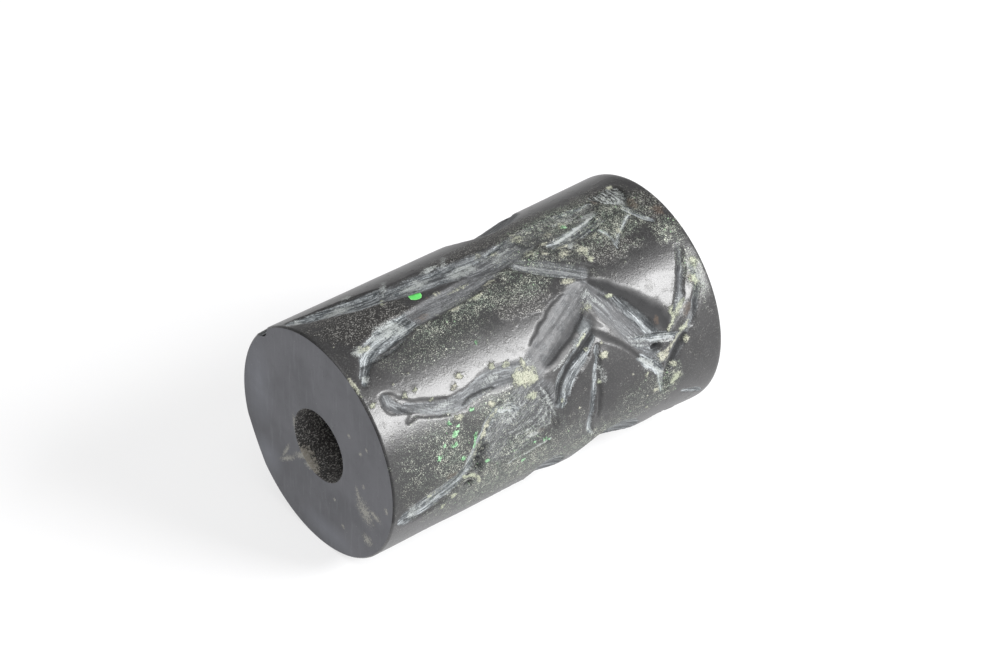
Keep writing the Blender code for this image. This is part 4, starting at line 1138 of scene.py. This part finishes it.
def grind_the_ends(material):
    """The ends: ground stone with marks of the grinding, paler blotches, scuffs and specks."""
    finish = Finish(material)
    cloud = finish.noise(4.0, 3.0)
    mottle = finish.noise(0.9, 3.0, 0.6)
    grain = finish.noise(0.2, 3.0, 0.7)
    salt = finish.noise(0.12, 1.0, 0.8)
    marks = finish.add("ShaderNodeMapping", None, {"Vector": finish.place, "Scale": (1.0, 2.6, 0.35)})
    marks = finish.noise(1.0, 3.0, 0.6, marks)
    finish.colour = finish.blend(cloud.rising(0.3, 0.7), (0.092, 0.094, 0.105), (0.124, 0.126, 0.140))
    finish.coat(marks.rising(0.5, 0.8) * 0.4, (0.18, 0.185, 0.20))
    finish.coat(grain.rising(0.5, 0.3) * mottle.rising(0.45, 0.65) * 0.5, (0.05, 0.05, 0.056))
    blotches = finish.end_spots((
        (-1, 8.2, 1.5, 2.6, 5.0), (-1, 7.0, -5.5, 2.4, 2.0), (-1, -1.0, -8.5, 4.0, 1.6),
        (1, -6.5, 4.0, 4.0, 5.0), (1, 5.0, -5.0, 5.0, 2.6),
    ))
    finish.coat((blotches * (0.4 + 1.2 * mottle)).kept_in() * 0.6, (0.20, 0.21, 0.24))
    scuffs = finish.end_spots((
        (-1, -6.3, -3.1, 1.3, 1.9, -42), (-1, -5.5, -2.0, 0.4, 1.3, -15), (-1, -7.7, -2.7, 1.1, 0.5, 10),
        (-1, -9.2, -1.2, 0.35, 0.5, 0), (-1, -6.6, -5.9, 0.9, 0.8, 0), (-1, 3.1, 0.1, 0.35, 1.4, -8),
        (-1, 2.3, -2.7, 1.7, 0.45, -30), (-1, 4.2, -4.2, 2.0, 0.4, -37), (-1, 4.4, -3.5, 1.5, 0.3, -60),
        (-1, 1.2, -3.1, 0.9, 0.5, -20), (-1, -6.2, -0.6, 0.3, 0.35, 0), (-1, -5.9, 2.6, 0.3, 0.35, 0),
        (-1, -4.4, 3.5, 0.35, 0.3, 0), (-1, -6.7, 3.5, 0.25, 0.3, 0), (-1, -3.3, -6.6, 0.3, 0.35, 0),
        (-1, -2.2, -4.5, 0.3, 0.3, 0), (1, 5.4, 3.6, 1.6, 0.6, -35), (1, -4.6, 5.2, 0.5, 1.4, 20),
        (1, -3.4, -0.6, 0.5, 1.2, 10), (1, 2.6, -6.8, 2.0, 0.5, 12), (1, 7.6, -3.0, 0.6, 0.9, 0),
        (1, -7.2, -3.6, 1.0, 0.5, 25),
    ))
    scuffed = (0.6 * scuffs + 1.2 * (grain - 0.5) + 1.2 * (salt - 0.5)).rising(0.18, 0.5)
    scuffed = scuffed * scuffs.rising(0.0, 0.2)
    finish.coat(scuffed * 0.75, (0.44, 0.43, 0.38))
    finish.coat(scuffs * 0.25, (0.24, 0.24, 0.23))
    finish.coat(finish.grains(0.6, 0.09, 0.3)[0] * 0.6, (0.32, 0.32, 0.31))
    finish.wear(0.58 + 0.1 * grain + 0.2 * scuffed, 0.006 * grain + 0.006 * marks + 0.03 * scuffed)


grind_the_ends(finishes[ENDS])

# The finish of the bore. It was drilled and never polished. Dark dirt with pale specks has settled
# in it, and a cream deposit lies on the lip of its mouth.


def dirty_the_bore(material):
    """The bore: dark dirt, pale specks, and a deposit on the lip of the near mouth."""
    finish = Finish(material)
    grain = finish.noise(0.3, 3.0, 0.7)
    salt = finish.noise(0.13, 1.0, 0.8)
    finish.colour = finish.blend(grain.rising(0.3, 0.6), (0.010, 0.010, 0.010), (0.032, 0.029, 0.027))
    finish.coat((0.7 * salt + 0.3 * grain).rising(0.52, 0.62) * 0.7, (0.42, 0.41, 0.39))
    lip = finish.spot((-HALF_LENGTH, 1.5, AXIS_HEIGHT - 0.85 * BORE_MOUTH_RADIUS), (1.3, 2.4, 1.7))
    lip = (lip + 1.2 * (grain - 0.5) + 0.6 * (salt - 0.5)).rising(0.2, 0.6) * lip.rising(0.0, 0.15)
    finish.coat(lip * 0.6, (0.42, 0.39, 0.33))
    finish.wear(0.5 + 0.3 * grain, 0.03 * grain + 0.02 * salt)


dirty_the_bore(finishes[BORE])

seal = show("seal_stone", stone_mesh)
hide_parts("seal")
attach(seal, "root")

# The stage. A wide pale floor, an even pale surround, a small soft lamp above the front right and
# a wide one overhead.

FLOOR_HALF_SIZE = 6.0
FLOOR_FINISH = {
    "Base Color": (0.32, 0.32, 0.325, 1.0),
    "Emission Color": (1.0, 1.0, 1.0, 1.0),
    "Emission Strength": 0.68,
    "Roughness": 0.9,
    "Specular IOR Level": 0.2,
}
SURROUND_STRENGTH = 0.33

floor_mesh = bpy.data.meshes.new("floor")
corners = [(x * FLOOR_HALF_SIZE, y * FLOOR_HALF_SIZE, 0) for x, y in ((-1, -1), (1, -1), (1, 1), (-1, 1))]
floor_mesh.from_pydata(corners, [], [(0, 1, 2, 3)])
floor = show("floor", floor_mesh)
paper = bpy.data.materials.new("pale_floor")
paper.use_nodes = True
for name, value in FLOOR_FINISH.items():
    paper.node_tree.nodes["Principled BSDF"].inputs[name].default_value = value
floor_mesh.materials.append(paper)

world = bpy.data.worlds.new("surround")
bpy.context.scene.world = world
world.use_nodes = True
world.node_tree.nodes["Background"].inputs["Color"].default_value = (1.0, 1.0, 1.0, 1.0)
world.node_tree.nodes["Background"].inputs["Strength"].default_value = SURROUND_STRENGTH


def hang_lamp(name, direction, distance, width, height, power):
    """A soft lamp that shines on the seal from one direction."""
    light = bpy.data.lights.new(name, "AREA")
    light.shape = "RECTANGLE"
    light.size = width
    light.size_y = height
    light.energy = power
    away = Vector(direction).normalized()
    faced = away.to_track_quat("Z", "Y").to_matrix().to_4x4()
    show(name, light).matrix_world = Matrix.Translation(away * distance) @ faced


hang_lamp("key_lamp", (0.489, -0.690, 0.535), 0.35, 0.18, 0.155, 2.15)
hang_lamp("fill_lamp", (-0.35, -0.1, 1.0), 0.8, 0.7, 0.7, 2.2)

LENS = 163.66
CAMERA_PLACE = Vector((-0.18485, -0.23456, AXIS_HEIGHT * MM + 0.23118))
CAMERA_TURN, CAMERA_RISE, CAMERA_ROLL = (math.radians(angle) for angle in (-38.5, 37.37, 0.2))

lens = bpy.data.cameras.new("camera")
lens.lens = LENS
lens.clip_start = 0.01
camera = show("camera", lens)
back = Vector((
    math.sin(CAMERA_TURN) * math.cos(CAMERA_RISE),
    -math.cos(CAMERA_TURN) * math.cos(CAMERA_RISE),
    math.sin(CAMERA_RISE),
))
right = Vector((math.cos(CAMERA_TURN), math.sin(CAMERA_TURN), 0.0))
level = Matrix((right, back.cross(right), back)).transposed()
camera.matrix_world = (
    Matrix.Translation(CAMERA_PLACE) @ level.to_4x4() @ Matrix.Rotation(CAMERA_ROLL, 4, "Z")
)
bpy.context.scene.camera = camera
bpy.context.scene.view_settings.view_transform = "Standard"
